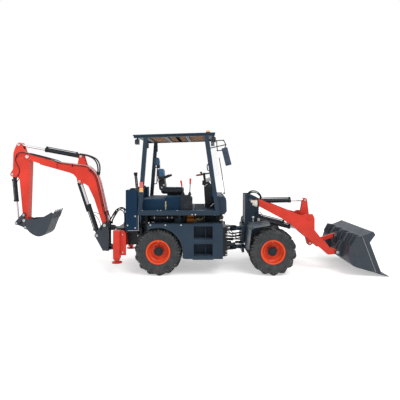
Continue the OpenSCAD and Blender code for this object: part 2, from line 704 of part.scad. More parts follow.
module boom() place() color(paint_red) {
  h = boom_w / 2;
  difference() {
    along_y(-h, h) polygon(boom_outline);
    pin_y(boom_foot, 30 + gap, -200, 200);
    pin_y(boom_cyl_eye, 135, -58, 58);
  }
  both_sides() {
    along_y(50, 80) {
      translate(dip_cyl_base) circle(48);
      polygon([dip_cyl_base + [-40, 24], [-3530, 2300], [-3330, 2275], dip_cyl_base + [44, 20]]);
    }
    along_y(h - 2, h + 25) {
      translate(boom_tip) circle(60);
      polygon([boom_tip + [12, 58], [-3983, 2365], [-3983, 2215], boom_tip + [-16, -57]]);
    }
    pin_y(boom_cyl_eye, 34, h - 5, h + 9);
    pin_y(boom_tip, 44, h + 22, h + 33);
  }
  pin_y(dip_cyl_base, 24, -88, 88);
  pin_y(boom_tip, 30, -h - 30, h + 30);
}

module boom_barrel() place() color(black) lay(boom_cyl_base, boom_cyl_eye) barrel(730, 48, 50, 84, 25, 26);

module boom_rod() place() color(chrome) lay(boom_cyl_base, boom_cyl_eye)
  rod(380, norm(boom_cyl_eye - boom_cyl_base), 26, 44, 80);

dipper_outline = [[-4894, 2781], [-4850, 2812], [-4806, 2800], [-4776, 2736], [-4730, 2599], [-4640, 2555],
  [-4592, 2500], [-4599, 2371], [-4639, 1114], [-4648, 1030], [-4690, 1002], [-4740, 1015], [-4760, 1070],
  [-4775, 1160], [-4767, 1224], [-4836, 1989], [-4885, 2020], [-4960, 2030], [-5020, 2045], [rear_tip, 2095],
  [-5020, 2150], [-4985, 2207], [-4976, 2572], [-4940, 2681]];

module dipper() place() color(paint_red) {
  difference() {
    along_y(-85, 85) polygon(dipper_outline);
    pin_y(boom_tip, 30 + gap, -200, 200);
    pin_y(dip_cyl_eye, 140, -48, 48);
    pin_y(hoe_cyl_base, 100, -50, 50);
  }
  both_sides() pin_y(dip_cyl_eye, 34, 80, 96);
  both_sides() pin_y(guide_pin, 22, 80, 120);
  pin_y(hoe_cyl_base, 22, -96, 96);
  pin_y(hoe_pin, 27, -152, 152);
}

module dipper_barrel() place() color(black) lay(dip_cyl_base, dip_cyl_eye)
  rotate([180, 0, 0]) barrel(845, 50, 45, 90, 24, 26);

module dipper_rod() place() color(chrome) lay(dip_cyl_base, dip_cyl_eye)
  rod(500, norm(dip_cyl_eye - dip_cyl_base), 26, 44, 84);

module hoe_barrel() place() color(black) lay(hoe_cyl_base, link_joint)
  rotate([180, 0, 0]) barrel(627, 40, 42, 76, 22, 22);

module hoe_rod() place() color(chrome) lay(hoe_cyl_base, link_joint)
  rod(360, norm(link_joint - hoe_cyl_base), 22, 36, 64);

module guide_link() place() color(coal) both_sides() {
  along_y(92, 112) difference() {
    bar2d(guide_pin, 44, link_joint, 42);
    translate(guide_pin) circle(22 + gap);
  }
  pin_y(link_joint, 30, 110, 122);
}

module hoe_link() place() color(coal) difference() {
  union() {
    both_sides() along_y(45, 70) bar2d(link_pin, 40, link_joint, 38);
    both_sides() pin_y(link_joint, 32, 60, 84);
    pin_y(link_pin, 40, -112, 112);
  }
  pin_y(link_pin, 22 + gap, -200, 200);
}

hoe_path = [[-4600, 1085], [-4618, 1020], [-4622, 950], [-4598, 868], [-4545, 805], [-4475, 755], [-4410, 722],
  [-4348, 708], [-4280, 716], [-4215, 750], [-4166, 805], [-4010, 1205]];
hoe_mid = beside(hoe_path, 6);

module hoe_bucket() place() color(coal) {
  w = hoe_bucket_w / 2;
  along_y(-w, w) polygon(strip(hoe_path, 12));
  both_sides() {
    along_y(w - 14, w) polygon(concat(hoe_path, [[-4056, 1250], [-4239, 1142], [-4439, 1092]]));
    along_y(120, 145) difference() {
      union() {
        translate(hoe_pin) circle(52);
        translate(link_pin) circle(44);
        polygon([hoe_pin + [10, 51], hoe_mid[0], hoe_mid[1], hoe_mid[2], hoe_mid[3], hoe_mid[4],
          link_pin + [10, -42], link_pin + [-43, 8], hoe_pin + [-50, -12]]);
      }
      translate(hoe_pin) circle(27 + gap);
    }
  }
  pin_y(link_pin, 22, -152, 152);
  for (i = [-2:2])
    along_y(i * (w - 24) / 2 - 22, i * (w - 24) / 2 + 22)
      polygon([[-4052, 1120], [-4034, 1116], [-3962, 1306], [-4040, 1190]]);
}

// Steering cylinders

module steer_line(side) lay_flat([steer_base.x, side * steer_base.y], [steer_eye.x, side * steer_eye.y], steer_z)
  rotate([-90 * side, 0, 0]) children();

module steer_barrel(side) place() color(black) steer_line(side) barrel(450, 30, 30, 50, 15, 16);

module steer_rod(side) place() color(chrome) steer_line(side)
  rod(236, norm(steer_eye - steer_base), 16, 30, 44);

module steer_barrel_right() steer_barrel(-1);

module steer_barrel_left() steer_barrel(1);

module steer_rod_right() steer_rod(-1);

module steer_rod_left() steer_rod(1);

// Part to draw, or all of them

rear_chassis();
swing_lugs();
engine();
air_cleaner();
rear_axle();
deck();
hood();
side_panels();
tanks();
side_console();
seat();
steering_column();
dash();
canopy_frame();
roof();
windscreen();
work_lamps();
tail_lamps();
mirror_right();
beacon();
control_levers();
stabilizer_housings();
stabilizer_leg_right();
stabilizer_leg_left();
tyre_rear_right();
tyre_rear_left();
tyre_front_right();
tyre_front_left();
rim_rear_right();
rim_rear_left();
rim_front_right();
rim_front_left();
front_chassis();
front_axle();
front_fenders();
head_lamps();
lift_arms();
bell_crank();
loader_link();
loader_bucket();
lift_barrels();
lift_rods();
tilt_barrel();
tilt_rod();
swing_bracket();
boom();
boom_barrel();
boom_rod();
dipper();
dipper_barrel();
dipper_rod();
hoe_barrel();
hoe_rod();
guide_link();
hoe_link();
hoe_bucket();
steer_barrel_right();
steer_barrel_left();
steer_rod_right();
steer_rod_left();
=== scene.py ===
"""Finishes, fittings and stage for an articulated backhoe loader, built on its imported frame."""
import json
import math

import bpy
from mathutils import Matrix, Vector


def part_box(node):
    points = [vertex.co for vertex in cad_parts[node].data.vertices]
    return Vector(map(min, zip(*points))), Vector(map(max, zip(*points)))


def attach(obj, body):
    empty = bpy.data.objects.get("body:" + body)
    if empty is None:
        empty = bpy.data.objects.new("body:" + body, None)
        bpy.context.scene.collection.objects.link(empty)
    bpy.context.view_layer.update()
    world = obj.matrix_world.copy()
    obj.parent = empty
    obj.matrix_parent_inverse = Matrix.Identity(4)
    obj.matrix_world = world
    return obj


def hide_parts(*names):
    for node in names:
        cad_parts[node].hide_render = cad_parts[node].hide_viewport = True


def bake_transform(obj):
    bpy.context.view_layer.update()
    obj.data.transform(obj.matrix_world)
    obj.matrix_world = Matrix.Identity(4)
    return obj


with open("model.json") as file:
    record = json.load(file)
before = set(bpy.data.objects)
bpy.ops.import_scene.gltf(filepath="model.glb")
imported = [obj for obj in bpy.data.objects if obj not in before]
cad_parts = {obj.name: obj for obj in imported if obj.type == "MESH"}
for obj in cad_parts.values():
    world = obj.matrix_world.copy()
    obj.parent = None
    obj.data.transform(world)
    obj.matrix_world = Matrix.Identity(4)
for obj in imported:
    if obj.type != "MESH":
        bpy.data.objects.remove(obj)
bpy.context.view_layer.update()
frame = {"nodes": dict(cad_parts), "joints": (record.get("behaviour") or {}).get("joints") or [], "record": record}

bl_info = {
    "name": "Backhoe loader dressing",
    "version": (1, 0, 0),
    "blender": (4, 5, 0),
    "location": "View3D > Sidebar > Backhoe",
    "description": "Paints and fits out an articulated backhoe loader around its packed frame",
    "category": "Object",
}

MM = 0.001
PINS = {j["name"]: Vector(j["pos_m"]) for j in frame["joints"] if "pos_m" in j}
PIVOT_X = PINS["steer"].x
SIDES = (("right", -1), ("left", 1))


def at(x, y, z):
    """A point in millimetres, measured along X from the frames' pivot, as metres in the row frame."""
    return Vector((PIVOT_X + x * MM, y * MM, z * MM))


def waypoints(*spots, side=1):
    """Points of a route in millimetres as metres in the row frame; side -1 mirrors them to the right."""
    return [at(x, side * y, z) for x, y, z in spots]


def colour_prop(name, description, default):
    return bpy.props.FloatVectorProperty(
        name=name, description=description, default=default, size=3, min=0.0, max=1.0, subtype="COLOR")


def length_prop(name, description, default):
    return bpy.props.FloatProperty(
        name=name, description=description, default=default, min=0.0, subtype="DISTANCE", unit="LENGTH")


class BackhoePaint(bpy.types.PropertyGroup):
    """Colours of the paint, rubber and trim."""

    red: colour_prop("Arm red", "Paint of the loader arms, the digger and the stabilizers", (0.56, 0.028, 0.012))
    rim: colour_prop("Rim orange", "Paint of the wheel rims", (0.72, 0.065, 0.012))
    navy: colour_prop("Body navy", "Paint of the hood, deck and tanks", (0.003, 0.021, 0.050))
    panel: colour_prop("Panel grey", "Paint of the deck, canopy and side boxes", (0.019, 0.034, 0.055))
    coal: colour_prop("Bucket coal", "Paint of both buckets", (0.029, 0.037, 0.049))
    black: colour_prop("Frame black", "Paint of the frames and cylinders", (0.006, 0.009, 0.013))
    rubber: colour_prop("Tyre rubber", "Rubber of the tyres", (0.011, 0.014, 0.016))
    dust: colour_prop("Dust", "Dry dust on treads, steps and ledges", (0.38, 0.37, 0.35))
    lining: colour_prop("Roof lining", "Board under the roof", (0.27, 0.155, 0.085))
    insert: colour_prop("Seat insert", "Vinyl on the seat's facings", (0.028, 0.090, 0.175))
    canister: colour_prop("Filter orange", "Paint of the filters beside the engine", (0.42, 0.13, 0.012))
    # Painted sky reflection: the navy, panel and bucket finishes lay this tint through the dust mask on faces that look
    # up.
    sheen: colour_prop("Sky sheen", "Tone of painted faces that look up", (0.085, 0.140, 0.205))
    floor: colour_prop("Floor", "Studio floor", (0.93, 0.93, 0.93))


class BackhoeSizes(bpy.types.PropertyGroup):
    """Sizes of the fittings and of the view."""

    hose_radius: length_prop("Hose radius", "Radius of a full size hydraulic hose", 0.011)
    camera_x: length_prop("Camera X", "Camera's place along the machine", 0.345)
    camera_far: length_prop("Camera distance", "Camera's distance from the machine's middle plane", 8.5)
    camera_z: length_prop("Camera height", "Camera's height over the ground", 2.198)
    lens_mm: bpy.props.FloatProperty(name="Lens", description="Focal length in millimetres", default=33.5)
    shift_x: bpy.props.FloatProperty(name="Shift X", description="Sideways frame shift", default=-0.015)
    shift_y: bpy.props.FloatProperty(name="Shift Y", description="Upright frame shift", default=-0.076)


def paint_of(context):
    return context.scene.backhoe_paint


def sizes_of(context):
    return context.scene.backhoe_sizes


# Shader node groups


def new_group(name, inputs, outputs):
    """An empty shader group with (name, socket type, default) inputs and (name, socket type) outputs."""
    group = bpy.data.node_groups.new(name, "ShaderNodeTree")
    for label, kind, default in inputs:
        socket = group.interface.new_socket(name=label, in_out="INPUT", socket_type=kind)
        socket.default_value = default
    for label, kind in outputs:
        group.interface.new_socket(name=label, in_out="OUTPUT", socket_type=kind)
    return group, group.nodes.new("NodeGroupInput"), group.nodes.new("NodeGroupOutput")


def add(tree, kind, **values):
    """A node with properties and, for keys that name a socket, socket values."""
    node = tree.nodes.new(kind)
    for key, value in values.items():
        if key in node.inputs:
            node.inputs[key].default_value = value
        else:
            setattr(node, key, value)
    return node


def maths(tree, operation, first, second=None, clamp=False):
    """A Math node; sockets are linked and numbers are set."""
    node = add(tree, "ShaderNodeMath", operation=operation, use_clamp=clamp)
    for index, value in enumerate((first, second)):
        if value is None:
            continue
        if isinstance(value, (int, float)):
            node.inputs[index].default_value = value
        else:
            tree.links.new(value, node.inputs[index])
    return node.outputs[0]


def mixed(tree, factor, first, second):
    """A colour mix; sockets are linked and colours are set."""
    node = add(tree, "ShaderNodeMix", data_type="RGBA")
    for socket, value in ((node.inputs[0], factor), (node.inputs[6], first), (node.inputs[7], second)):
        if isinstance(value, bpy.types.NodeSocket):
            tree.links.new(value, socket)
        else:
            socket.default_value = value
    return node.outputs[2]


def noise(tree, vector, scale, detail=3.0, roughness=0.55):
    node = add(tree, "ShaderNodeTexNoise", Detail=detail, Roughness=roughness)
    tree.links.new(vector, node.inputs["Vector"])
    if isinstance(scale, bpy.types.NodeSocket):
        tree.links.new(scale, node.inputs["Scale"])
    else:
        node.inputs["Scale"].default_value = scale
    return node.outputs["Fac"]


def ranged(tree, value, low, high, to_low=0.0, to_high=1.0):
    """A clamped Map Range from low..high; low and high may be sockets."""
    node = add(tree, "ShaderNodeMapRange", clamp=True)
    for key, entry in (("Value", value), ("From Min", low), ("From Max", high), ("To Min", to_low),
                       ("To Max", to_high)):
        if isinstance(entry, bpy.types.NodeSocket):
            tree.links.new(entry, node.inputs[key])
        else:
            node.inputs[key].default_value = entry
    return node.outputs["Result"]


def make_dust_and_sheen_group():
    """Mask for settled dust, and for a painted sky sheen where a finish takes that tint: low down and on faces that
    look up, broken up by noise.
    """
    group, start, end = new_group(
        "Settled dust and sheen",
        [("Amount", "NodeSocketFloat", 0.3), ("Height", "NodeSocketFloat", 1.0), ("Ledges", "NodeSocketFloat", 0.3)],
        [("Mask", "NodeSocketFloat")])
    place = add(group, "ShaderNodeTexCoord").outputs["Object"]
    split = add(group, "ShaderNodeSeparateXYZ")
    group.links.new(place, split.inputs[0])
    low = ranged(group, split.outputs["Z"], start.outputs["Height"], 0.0)
    facing = add(group, "ShaderNodeSeparateXYZ")
    group.links.new(add(group, "ShaderNodeNewGeometry").outputs["Normal"], facing.inputs[0])
    up = ranged(group, facing.outputs["Z"], 0.55, 0.95)
    patch = ranged(group, noise(group, place, 7.0, 6.0, 0.65), 0.38, 0.72)
    fine = ranged(group, noise(group, place, 90.0, 3.0), 0.25, 0.75, 0.55, 1.0)
    ledge = maths(group, "MULTIPLY", up, start.outputs["Ledges"])
    where = maths(group, "ADD", maths(group, "MULTIPLY", low, start.outputs["Amount"]), ledge, clamp=True)
    mask = maths(group, "MULTIPLY", maths(group, "MULTIPLY", where, patch), fine, clamp=True)
    group.links.new(mask, end.inputs["Mask"])
    return group


def make_mottle_group():
    """Slow change of tone between a paint and its faded colour, and a fine height for its relief."""
    group, start, end = new_group(
        "Paint mottle",
        [("Colour", "NodeSocketColor", (0.5, 0.5, 0.5, 1.0)), ("Faded", "NodeSocketColor", (0.6, 0.6, 0.6, 1.0)),
         ("Amount", "NodeSocketFloat", 0.25), ("Scale", "NodeSocketFloat", 2.0)],
        [("Colour", "NodeSocketColor"), ("Height", "NodeSocketFloat")])
    place = add(group, "ShaderNodeTexCoord").outputs["Object"]
    slow = ranged(group, noise(group, place, start.outputs["Scale"], 4.0), 0.35, 0.7)
    fine = noise(group, place, 260.0, 2.0)
    amount = maths(group, "MULTIPLY", slow, start.outputs["Amount"])
    colour = mixed(group, amount, start.outputs["Colour"], start.outputs["Faded"])
    group.links.new(colour, end.inputs["Colour"])
    group.links.new(fine, end.inputs["Height"])
    return group


def make_edge_group():
    """Rounded edge normal, and a mask of worn edges."""
    group, start, end = new_group(
        "Edge wear",
        [("Wear", "NodeSocketFloat", 0.3)],
        [("Mask", "NodeSocketFloat"), ("Normal", "NodeSocketVector")])
    soft = add(group, "ShaderNodeBevel", samples=4, Radius=0.005)
    true = add(group, "ShaderNodeNewGeometry").outputs["Normal"]
    dot = add(group, "ShaderNodeVectorMath", operation="DOT_PRODUCT")
    group.links.new(soft.outputs[0], dot.inputs[0])
    group.links.new(true, dot.inputs[1])
    edge = ranged(group, dot.outputs["Value"], 0.985, 0.90)
    place = add(group, "ShaderNodeTexCoord").outputs["Object"]
    broken = ranged(group, noise(group, place, 45.0, 5.0, 0.7), 0.50, 0.62)
    mask = maths(group, "MULTIPLY", maths(group, "MULTIPLY", edge, broken), start.outputs["Wear"], clamp=True)
    group.links.new(mask, end.inputs["Mask"])
    group.links.new(soft.outputs[0], end.inputs["Normal"])
    return group


def make_scuff_group():
    """Long dry scrapes, as earth leaves on a bucket."""
    group, start, end = new_group(
        "Earth scuffs",
        [("Amount", "NodeSocketFloat", 0.4), ("Height", "NodeSocketFloat", 0.8)],
        [("Mask", "NodeSocketFloat"), ("Relief", "NodeSocketFloat")])
    place = add(group, "ShaderNodeTexCoord").outputs["Object"]
    stretch = add(group, "ShaderNodeMapping", Scale=(40.0, 2.5, 6.0), Rotation=(0.0, 0.3, 0.0))
    group.links.new(place, stretch.inputs["Vector"])
    lines = ranged(group, noise(group, stretch.outputs[0], 1.6, 6.0, 0.6), 0.52, 0.74)
    patch = ranged(group, noise(group, place, 3.5, 4.0), 0.38, 0.66)
    split = add(group, "ShaderNodeSeparateXYZ")
    group.links.new(place, split.inputs[0])
    low = ranged(group, split.outputs["Z"], start.outputs["Height"], 0.0, 0.25, 1.0)
    mask = maths(group, "MULTIPLY", maths(group, "MULTIPLY", lines, patch), low)
    mask = maths(group, "MULTIPLY", mask, start.outputs["Amount"], clamp=True)
    group.links.new(mask, end.inputs["Mask"])
    group.links.new(lines, end.inputs["Relief"])
    return group


def make_grain_group():
    """Fine cell grain for vinyl, moulded plastic and rubber."""
    group, start, end = new_group(
        "Moulded grain",
        [("Scale", "NodeSocketFloat", 400.0)],
        [("Height", "NodeSocketFloat"), ("Tone", "NodeSocketFloat")])
    place = add(group, "ShaderNodeTexCoord").outputs["Object"]
    cells = add(group, "ShaderNodeTexVoronoi", feature="DISTANCE_TO_EDGE")
    group.links.new(place, cells.inputs["Vector"])
    group.links.new(start.outputs["Scale"], cells.inputs["Scale"])
    height = ranged(group, cells.outputs["Distance"], 0.0, 0.25)
    tone = ranged(group, noise(group, place, 12.0, 4.0), 0.3, 0.7)
    group.links.new(height, end.inputs["Height"])
    group.links.new(tone, end.inputs["Tone"])
    return group


GROUP_MAKERS = {
    "dust": make_dust_and_sheen_group,
    "mottle": make_mottle_group,
    "edge": make_edge_group,
    "scuff": make_scuff_group,
    "grain": make_grain_group,
}
GROUPS = {}


def shared_group(key):
    """A shader group, built when it is first needed."""
    if key not in GROUPS:
        GROUPS[key] = GROUP_MAKERS[key]()
    return GROUPS[key]


def rgba(colour):
    return (*colour, 1.0)


def lighter(colour, by):
    """A colour moved towards white."""
    return tuple(c + (1.0 - c) * by for c in colour)


def faded(colour):
    """A colour as sun and weather leave it, for the lighter patches of a finish."""
    return tuple(min(1.0, 1.6 * c + 0.01) for c in colour)


def start_material(name):
    """A new node material: its tree and its Principled shader."""
    made = bpy.data.materials.new(name)
    made.use_nodes = True
    return made, made.node_tree, made.node_tree.nodes["Principled BSDF"]


def place_group(tree, key, **values):
    node = tree.nodes.new("ShaderNodeGroup")
    node.node_tree = shared_group(key)
    for label, value in values.items():
        node.inputs[label].default_value = value
    return node


def bump(tree, shader, height, strength, distance, normal=None):
    node = add(tree, "ShaderNodeBump", Strength=strength, Distance=distance)
    tree.links.new(height, node.inputs["Height"])
    if normal is not None:
        tree.links.new(normal, node.inputs["Normal"])
    tree.links.new(node.outputs["Normal"], shader.inputs["Normal"])


def painted(name, colour, dust_and_sheen_tint, rough=0.35, dust=0.06, dust_top=1.1, ledges=0.05, wear=0.3, fade=0.3,
            gloss=0.25, under=(0.30, 0.30, 0.30)):
    """Sprayed steel: mottled colour, worn edges down to primer, and the dust mask in the given tint, which is settled
    dust with the dust tint and a painted sky reflection with the sheen tint.
    """
    made, tree, shader = start_material(name)
    mottle = place_group(tree, "mottle", Colour=rgba(colour), Faded=rgba(faded(colour)), Amount=fade)
    edge = place_group(tree, "edge", Wear=wear)
    dust_and_sheen_mask = place_group(tree, "dust", Amount=dust, Height=dust_top, Ledges=ledges)
    worn = mixed(tree, edge.outputs["Mask"], mottle.outputs["Colour"], rgba(under))
    # The dust mask's tint: real dust in most finishes, a painted sky reflection in those given the sheen.
    dusty = mixed(tree, dust_and_sheen_mask.outputs["Mask"], worn, rgba(dust_and_sheen_tint))
    tree.links.new(dusty, shader.inputs["Base Color"])
    tree.links.new(ranged(tree, dust_and_sheen_mask.outputs["Mask"], 0.0, 0.8, rough, 0.85), shader.inputs["Roughness"])
    shader.inputs["Specular IOR Level"].default_value = gloss
    bump(tree, shader, mottle.outputs["Height"], 0.06, 0.0006, edge.outputs["Normal"])
    return made


def scuffed_steel(name, colour, dust_and_sheen_tint, bare=(0.30, 0.31, 0.33)):
    """Bucket steel: worn paint with long scrapes, and the dust mask in the given tint, which with the sheen tint is a
    painted sky reflection on faces that look up.
    """
    made, tree, shader = start_material(name)
    mottle = place_group(tree, "mottle", Colour=rgba(colour), Faded=rgba(faded(colour)), Amount=0.35,
                         Scale=3.0)
    edge = place_group(tree, "edge", Wear=0.7)
    scuff = place_group(tree, "scuff", Amount=0.18, Height=1.3)
    dust_and_sheen_mask = place_group(tree, "dust", Amount=0.05, Height=0.8, Ledges=0.5)
    scraped = mixed(tree, scuff.outputs["Mask"], mottle.outputs["Colour"], rgba(bare))
    worn = mixed(tree, edge.outputs["Mask"], scraped, rgba(bare))
    # For the buckets the dust mask's tint is the sheen: a painted sky reflection on faces that look up.
    dusty = mixed(tree, dust_and_sheen_mask.outputs["Mask"], worn, rgba(dust_and_sheen_tint))
    tree.links.new(dusty, shader.inputs["Base Color"])
    tree.links.new(ranged(tree, scuff.outputs["Relief"], 0.0, 1.0, 0.46, 0.3), shader.inputs["Roughness"])
    tree.links.new(ranged(tree, scuff.outputs["Mask"], 0.0, 0.5, 0.0, 0.5), shader.inputs["Metallic"])
    shader.inputs["Specular IOR Level"].default_value = 0.28
    bump(tree, shader, scuff.outputs["Relief"], 0.12, 0.0008, edge.outputs["Normal"])
    return made


def bright_metal(name, colour, rough):
    """Chromed or plated steel with faint turning marks."""
    made, tree, shader = start_material(name)
    place = add(tree, "ShaderNodeTexCoord").outputs["Object"]
    streak = noise(tree, place, 180.0, 3.0)
    slow = noise(tree, place, 9.0, 3.0)
    tree.links.new(mixed(tree, slow, rgba(colour), rgba(lighter(colour, 0.3))), shader.inputs["Base Color"])
    tree.links.new(ranged(tree, streak, 0.2, 0.8, rough * 0.7, rough * 1.4), shader.inputs["Roughness"])
    shader.inputs["Metallic"].default_value = 1.0
    bump(tree, shader, streak, 0.04, 0.0003)
    return made


def moulded(name, colour, rough=0.5, grain=350.0, strength=0.25, dust=0.04, dust_and_sheen_tint=(0.36, 0.36, 0.35),
            dust_top=1.0, ledges=0.04, gloss=0.2):
    """Moulded plastic, rubber or vinyl with a cell grain."""
    made, tree, shader = start_material(name)
    cells = place_group(tree, "grain", Scale=grain)
    dust_and_sheen_mask = place_group(tree, "dust", Amount=dust, Height=dust_top, Ledges=ledges)
    tone = mixed(tree, cells.outputs["Tone"], rgba(colour), rgba(faded(colour)))
    tree.links.new(mixed(tree, dust_and_sheen_mask.outputs["Mask"], tone, rgba(dust_and_sheen_tint)), shader.inputs["Base Color"])
    tree.links.new(ranged(tree, dust_and_sheen_mask.outputs["Mask"], 0.0, 0.6, rough, 0.9), shader.inputs["Roughness"])
    shader.inputs["Specular IOR Level"].default_value = gloss
    bump(tree, shader, cells.outputs["Height"], strength, 0.0006)
    return made


def lens(name, colour, rough=0.12):
    """Coloured lamp plastic with fine vertical prisms."""
    made, tree, shader = start_material(name)
    place = add(tree, "ShaderNodeTexCoord").outputs["Object"]
    split = add(tree, "ShaderNodeSeparateXYZ")
    tree.links.new(place, split.inputs[0])
    prisms = maths(tree, "SINE", maths(tree, "MULTIPLY", split.outputs["Z"], 900.0))
    tree.links.new(mixed(tree, noise(tree, place, 30.0), rgba(colour), rgba(lighter(colour, 0.15))),
                   shader.inputs["Base Color"])
    shader.inputs["Roughness"].default_value = rough
    shader.inputs["Coat Weight"].default_value = 0.6
    bump(tree, shader, prisms, 0.2, 0.0008)
    return made


def clear_glass(name):
    """Thin tinted screen glass, faintly dusty."""
    made, tree, shader = start_material(name)
    dust_and_sheen_mask = place_group(tree, "dust", Amount=0.05, Height=2.6, Ledges=0.0)
    shader.inputs["Base Color"].default_value = (0.80, 0.90, 0.90, 1.0)
    shader.inputs["IOR"].default_value = 1.45
    tree.links.new(ranged(tree, dust_and_sheen_mask.outputs["Mask"], 0.0, 1.0, 0.02, 0.3), shader.inputs["Roughness"])
    tree.links.new(ranged(tree, dust_and_sheen_mask.outputs["Mask"], 0.0, 0.5, 0.04, 0.12), shader.inputs["Alpha"])
    return made


# Modelling by hand, in operators


def pick_none():
    """Leave edit mode and deselect everything."""
    if bpy.context.object is not None and bpy.context.object.mode != "OBJECT":
        bpy.ops.object.mode_set(mode="OBJECT")
    bpy.ops.object.select_all(action="DESELECT")


def pick(*objects):
    """Select these objects alone, with the first one active."""
    pick_none()
    for entry in objects:
        entry.select_set(True)
    bpy.context.view_layer.objects.active = objects[0]


def settle(made):
    """Put an object's place, turn and scale into its mesh."""
    pick(made)
    bpy.ops.object.transform_apply(location=True, rotation=True, scale=True)
    return made


def edit_all(made):
    """Enter edit mode with every face selected."""
    pick(made)
    bpy.ops.object.mode_set(mode="EDIT")
    bpy.ops.mesh.select_mode(type="FACE")
    bpy.ops.mesh.select_all(action="SELECT")


def edit_done():
    bpy.ops.object.mode_set(mode="OBJECT")


def block(lo, hi, bevel=0.004, segments=2):
    """A box between two corners with its edges bevelled."""
    pick_none()
    lo, hi = Vector(lo), Vector(hi)
    bpy.ops.mesh.primitive_cube_add(size=1.0, location=(lo + hi) / 2, scale=hi - lo)
    made = settle(bpy.context.object)
    edit_all(made)
    bpy.ops.mesh.bevel(offset=bevel, segments=segments, affect="EDGES")
    edit_done()
    return made


def side_block(sign, lo, hi, bevel=0.004):
    """A block on one side of the machine, between corners in millimetres with Y counted outwards."""
    near, far = sorted((sign * lo[1], sign * hi[1]))
    return block(at(lo[0], near, lo[2]), at(hi[0], far, hi[2]), bevel)


def placed(made, place):
    """Carry a piece modelled at the origin to its matrix."""
    made.matrix_world = place
    return settle(made)


def pitched(place, degrees):
    """Matrix that turns about Y and carries the origin to a place."""
    return Matrix.Translation(place) @ Matrix.Rotation(math.radians(degrees), 4, "Y")


def aimed(place, towards):
    """Matrix that carries +Z to a direction and the origin to a place."""
    turn = Vector((0.0, 0.0, 1.0)).rotation_difference(Vector(towards)).to_matrix().to_4x4()
    return Matrix.Translation(place) @ turn


def turned_piece(profile, place=(0.0, 0.0, 0.0), towards=(0.0, 0.0, 1.0), sides=24):
    """A lathe piece: a disc drawn out ring by ring through (distance along, radius) pairs."""
    pick_none()
    along, radius = profile[0]
    bpy.ops.mesh.primitive_circle_add(vertices=sides, radius=radius, fill_type="NGON", location=(0.0, 0.0, along))
    made = settle(bpy.context.object)
    edit_all(made)
    for far, wide in profile[1:]:
        bpy.ops.mesh.extrude_region_move(TRANSFORM_OT_translate={"value": (0.0, 0.0, far - along)})
        grow = wide / radius
        bpy.ops.transform.resize(value=(grow, grow, 1.0), center_override=(0.0, 0.0, far))
        along, radius = far, wide
    bpy.ops.mesh.select_all(action="SELECT")
    bpy.ops.mesh.normals_make_consistent(inside=False)
    edit_done()
    return placed(made, aimed(place, towards))


def repeat(source, places):
    """Copy a piece modelled at the origin to each matrix, each copy with its own mesh, and join them."""
    made = []
    for place in places:
        twin = source.copy()
        twin.data = source.data.copy()
        bpy.context.scene.collection.objects.link(twin)
        twin.matrix_world = place
        made.append(twin)
    bpy.data.objects.remove(source)
    return joined(made)


def joined(parts):
    """Join objects into one, with its place in its mesh."""
    pick(*parts)
    if len(parts) > 1:
        bpy.ops.object.join()
    return settle(bpy.context.object)


def fit(made, name, body, finish, smooth=35.0):
    """Finish a piece: its name, shading, material and the body that it moves with."""
    pick(made)
    bpy.ops.object.shade_smooth_by_angle(angle=math.radians(smooth))
    made.name = made.data.name = name
    made.data.materials.clear()
    made.data.materials.append(bpy.data.materials[finish])
    if body is not None:
        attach(made, body)
    return made


def smooth_route(points, steps=8):
    """Points along a smooth curve through the given ones."""
    points = [Vector(p) for p in points]
    held = [2 * points[0] - points[1], *points, 2 * points[-1] - points[-2]]
    route = []
    for a, b, c, d in zip(held, held[1:], held[2:], held[3:]):
        for i in range(steps):
            t = i / steps
            route.append(0.5 * (2 * b + (c - a) * t + (2 * a - 5 * b + 4 * c - d) * t ** 2
                                + (3 * b - a - 3 * c + d) * t ** 3))
    return route + [points[-1]]


def tube(route, radius, rings=2):
    """A round tube along a route: a path is drawn, thickened and made a mesh."""
    pick_none()
    bpy.ops.curve.primitive_nurbs_path_add(location=(0.0, 0.0, 0.0))
    made = bpy.context.object
    curve = made.data
    curve.splines.clear()
    line = curve.splines.new("POLY")
    line.points.add(len(route) - 1)
    for point, place in zip(line.points, route):
        point.co = (*place, 1.0)
    curve.bevel_depth = radius
    curve.bevel_resolution = rings
    curve.use_fill_caps = True
    bpy.ops.object.convert(target="MESH")
    return settle(bpy.context.object)


def pipe(points, radius, rings=2):
    """A round tube on a smooth curve through points."""
    return tube(smooth_route(points), radius, rings)


def crimp(place, towards, radius):
    """A hose end: a ribbed sleeve and a hexagon nut, from the place inwards along the hose."""
    sleeve = ((0.0, 0.9), (1.6, 0.9), (1.7, 1.35), (2.4, 1.35), (2.5, 1.22), (2.9, 1.22), (3.0, 1.35), (4.2, 1.35),
              (4.5, 1.05))
    nut = ((0.0, 1.2), (0.12, 1.35), (1.2, 1.35), (1.3, 1.2))
    return joined([turned_piece([(radius * far, radius * wide) for far, wide in profile], place, towards, sides)
                   for profile, sides in ((sleeve, 16), (nut, 6))])


def hose(name, points, radius, start_body, end_body=None):
    """A rubber hose with crimped ends; one that crosses a joint is left on no body, baked where it lies, with each
    end's fitting on its own body.
    """
    route = smooth_route(points)
    made = tube(route, radius)
    bend = end_body is not None
    fit(made, name, None if bend else start_body, "Hose rubber", smooth=60.0)
    if bend:
        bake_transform(made)
    for label, body, near, next_to in (("start", start_body, route[0], route[1]),
                                       ("end", end_body or start_body, route[-1], route[-2])):
        end = crimp(near, next_to - near, radius)
        fit(end, f"{name}_{label}_fitting", body, "Frame black paint")
    return made


def beside(points, by):
    """A line in side view moved to the left of its direction by a distance."""
    moved = []
    for i, (x, z) in enumerate(points):
        (x0, z0), (x1, z1) = points[max(i - 1, 0)], points[min(i + 1, len(points) - 1)]
        length = math.hypot(x1 - x0, z1 - z0)
        moved.append((x - by * (z1 - z0) / length, z + by * (x1 - x0) / length))
    return moved


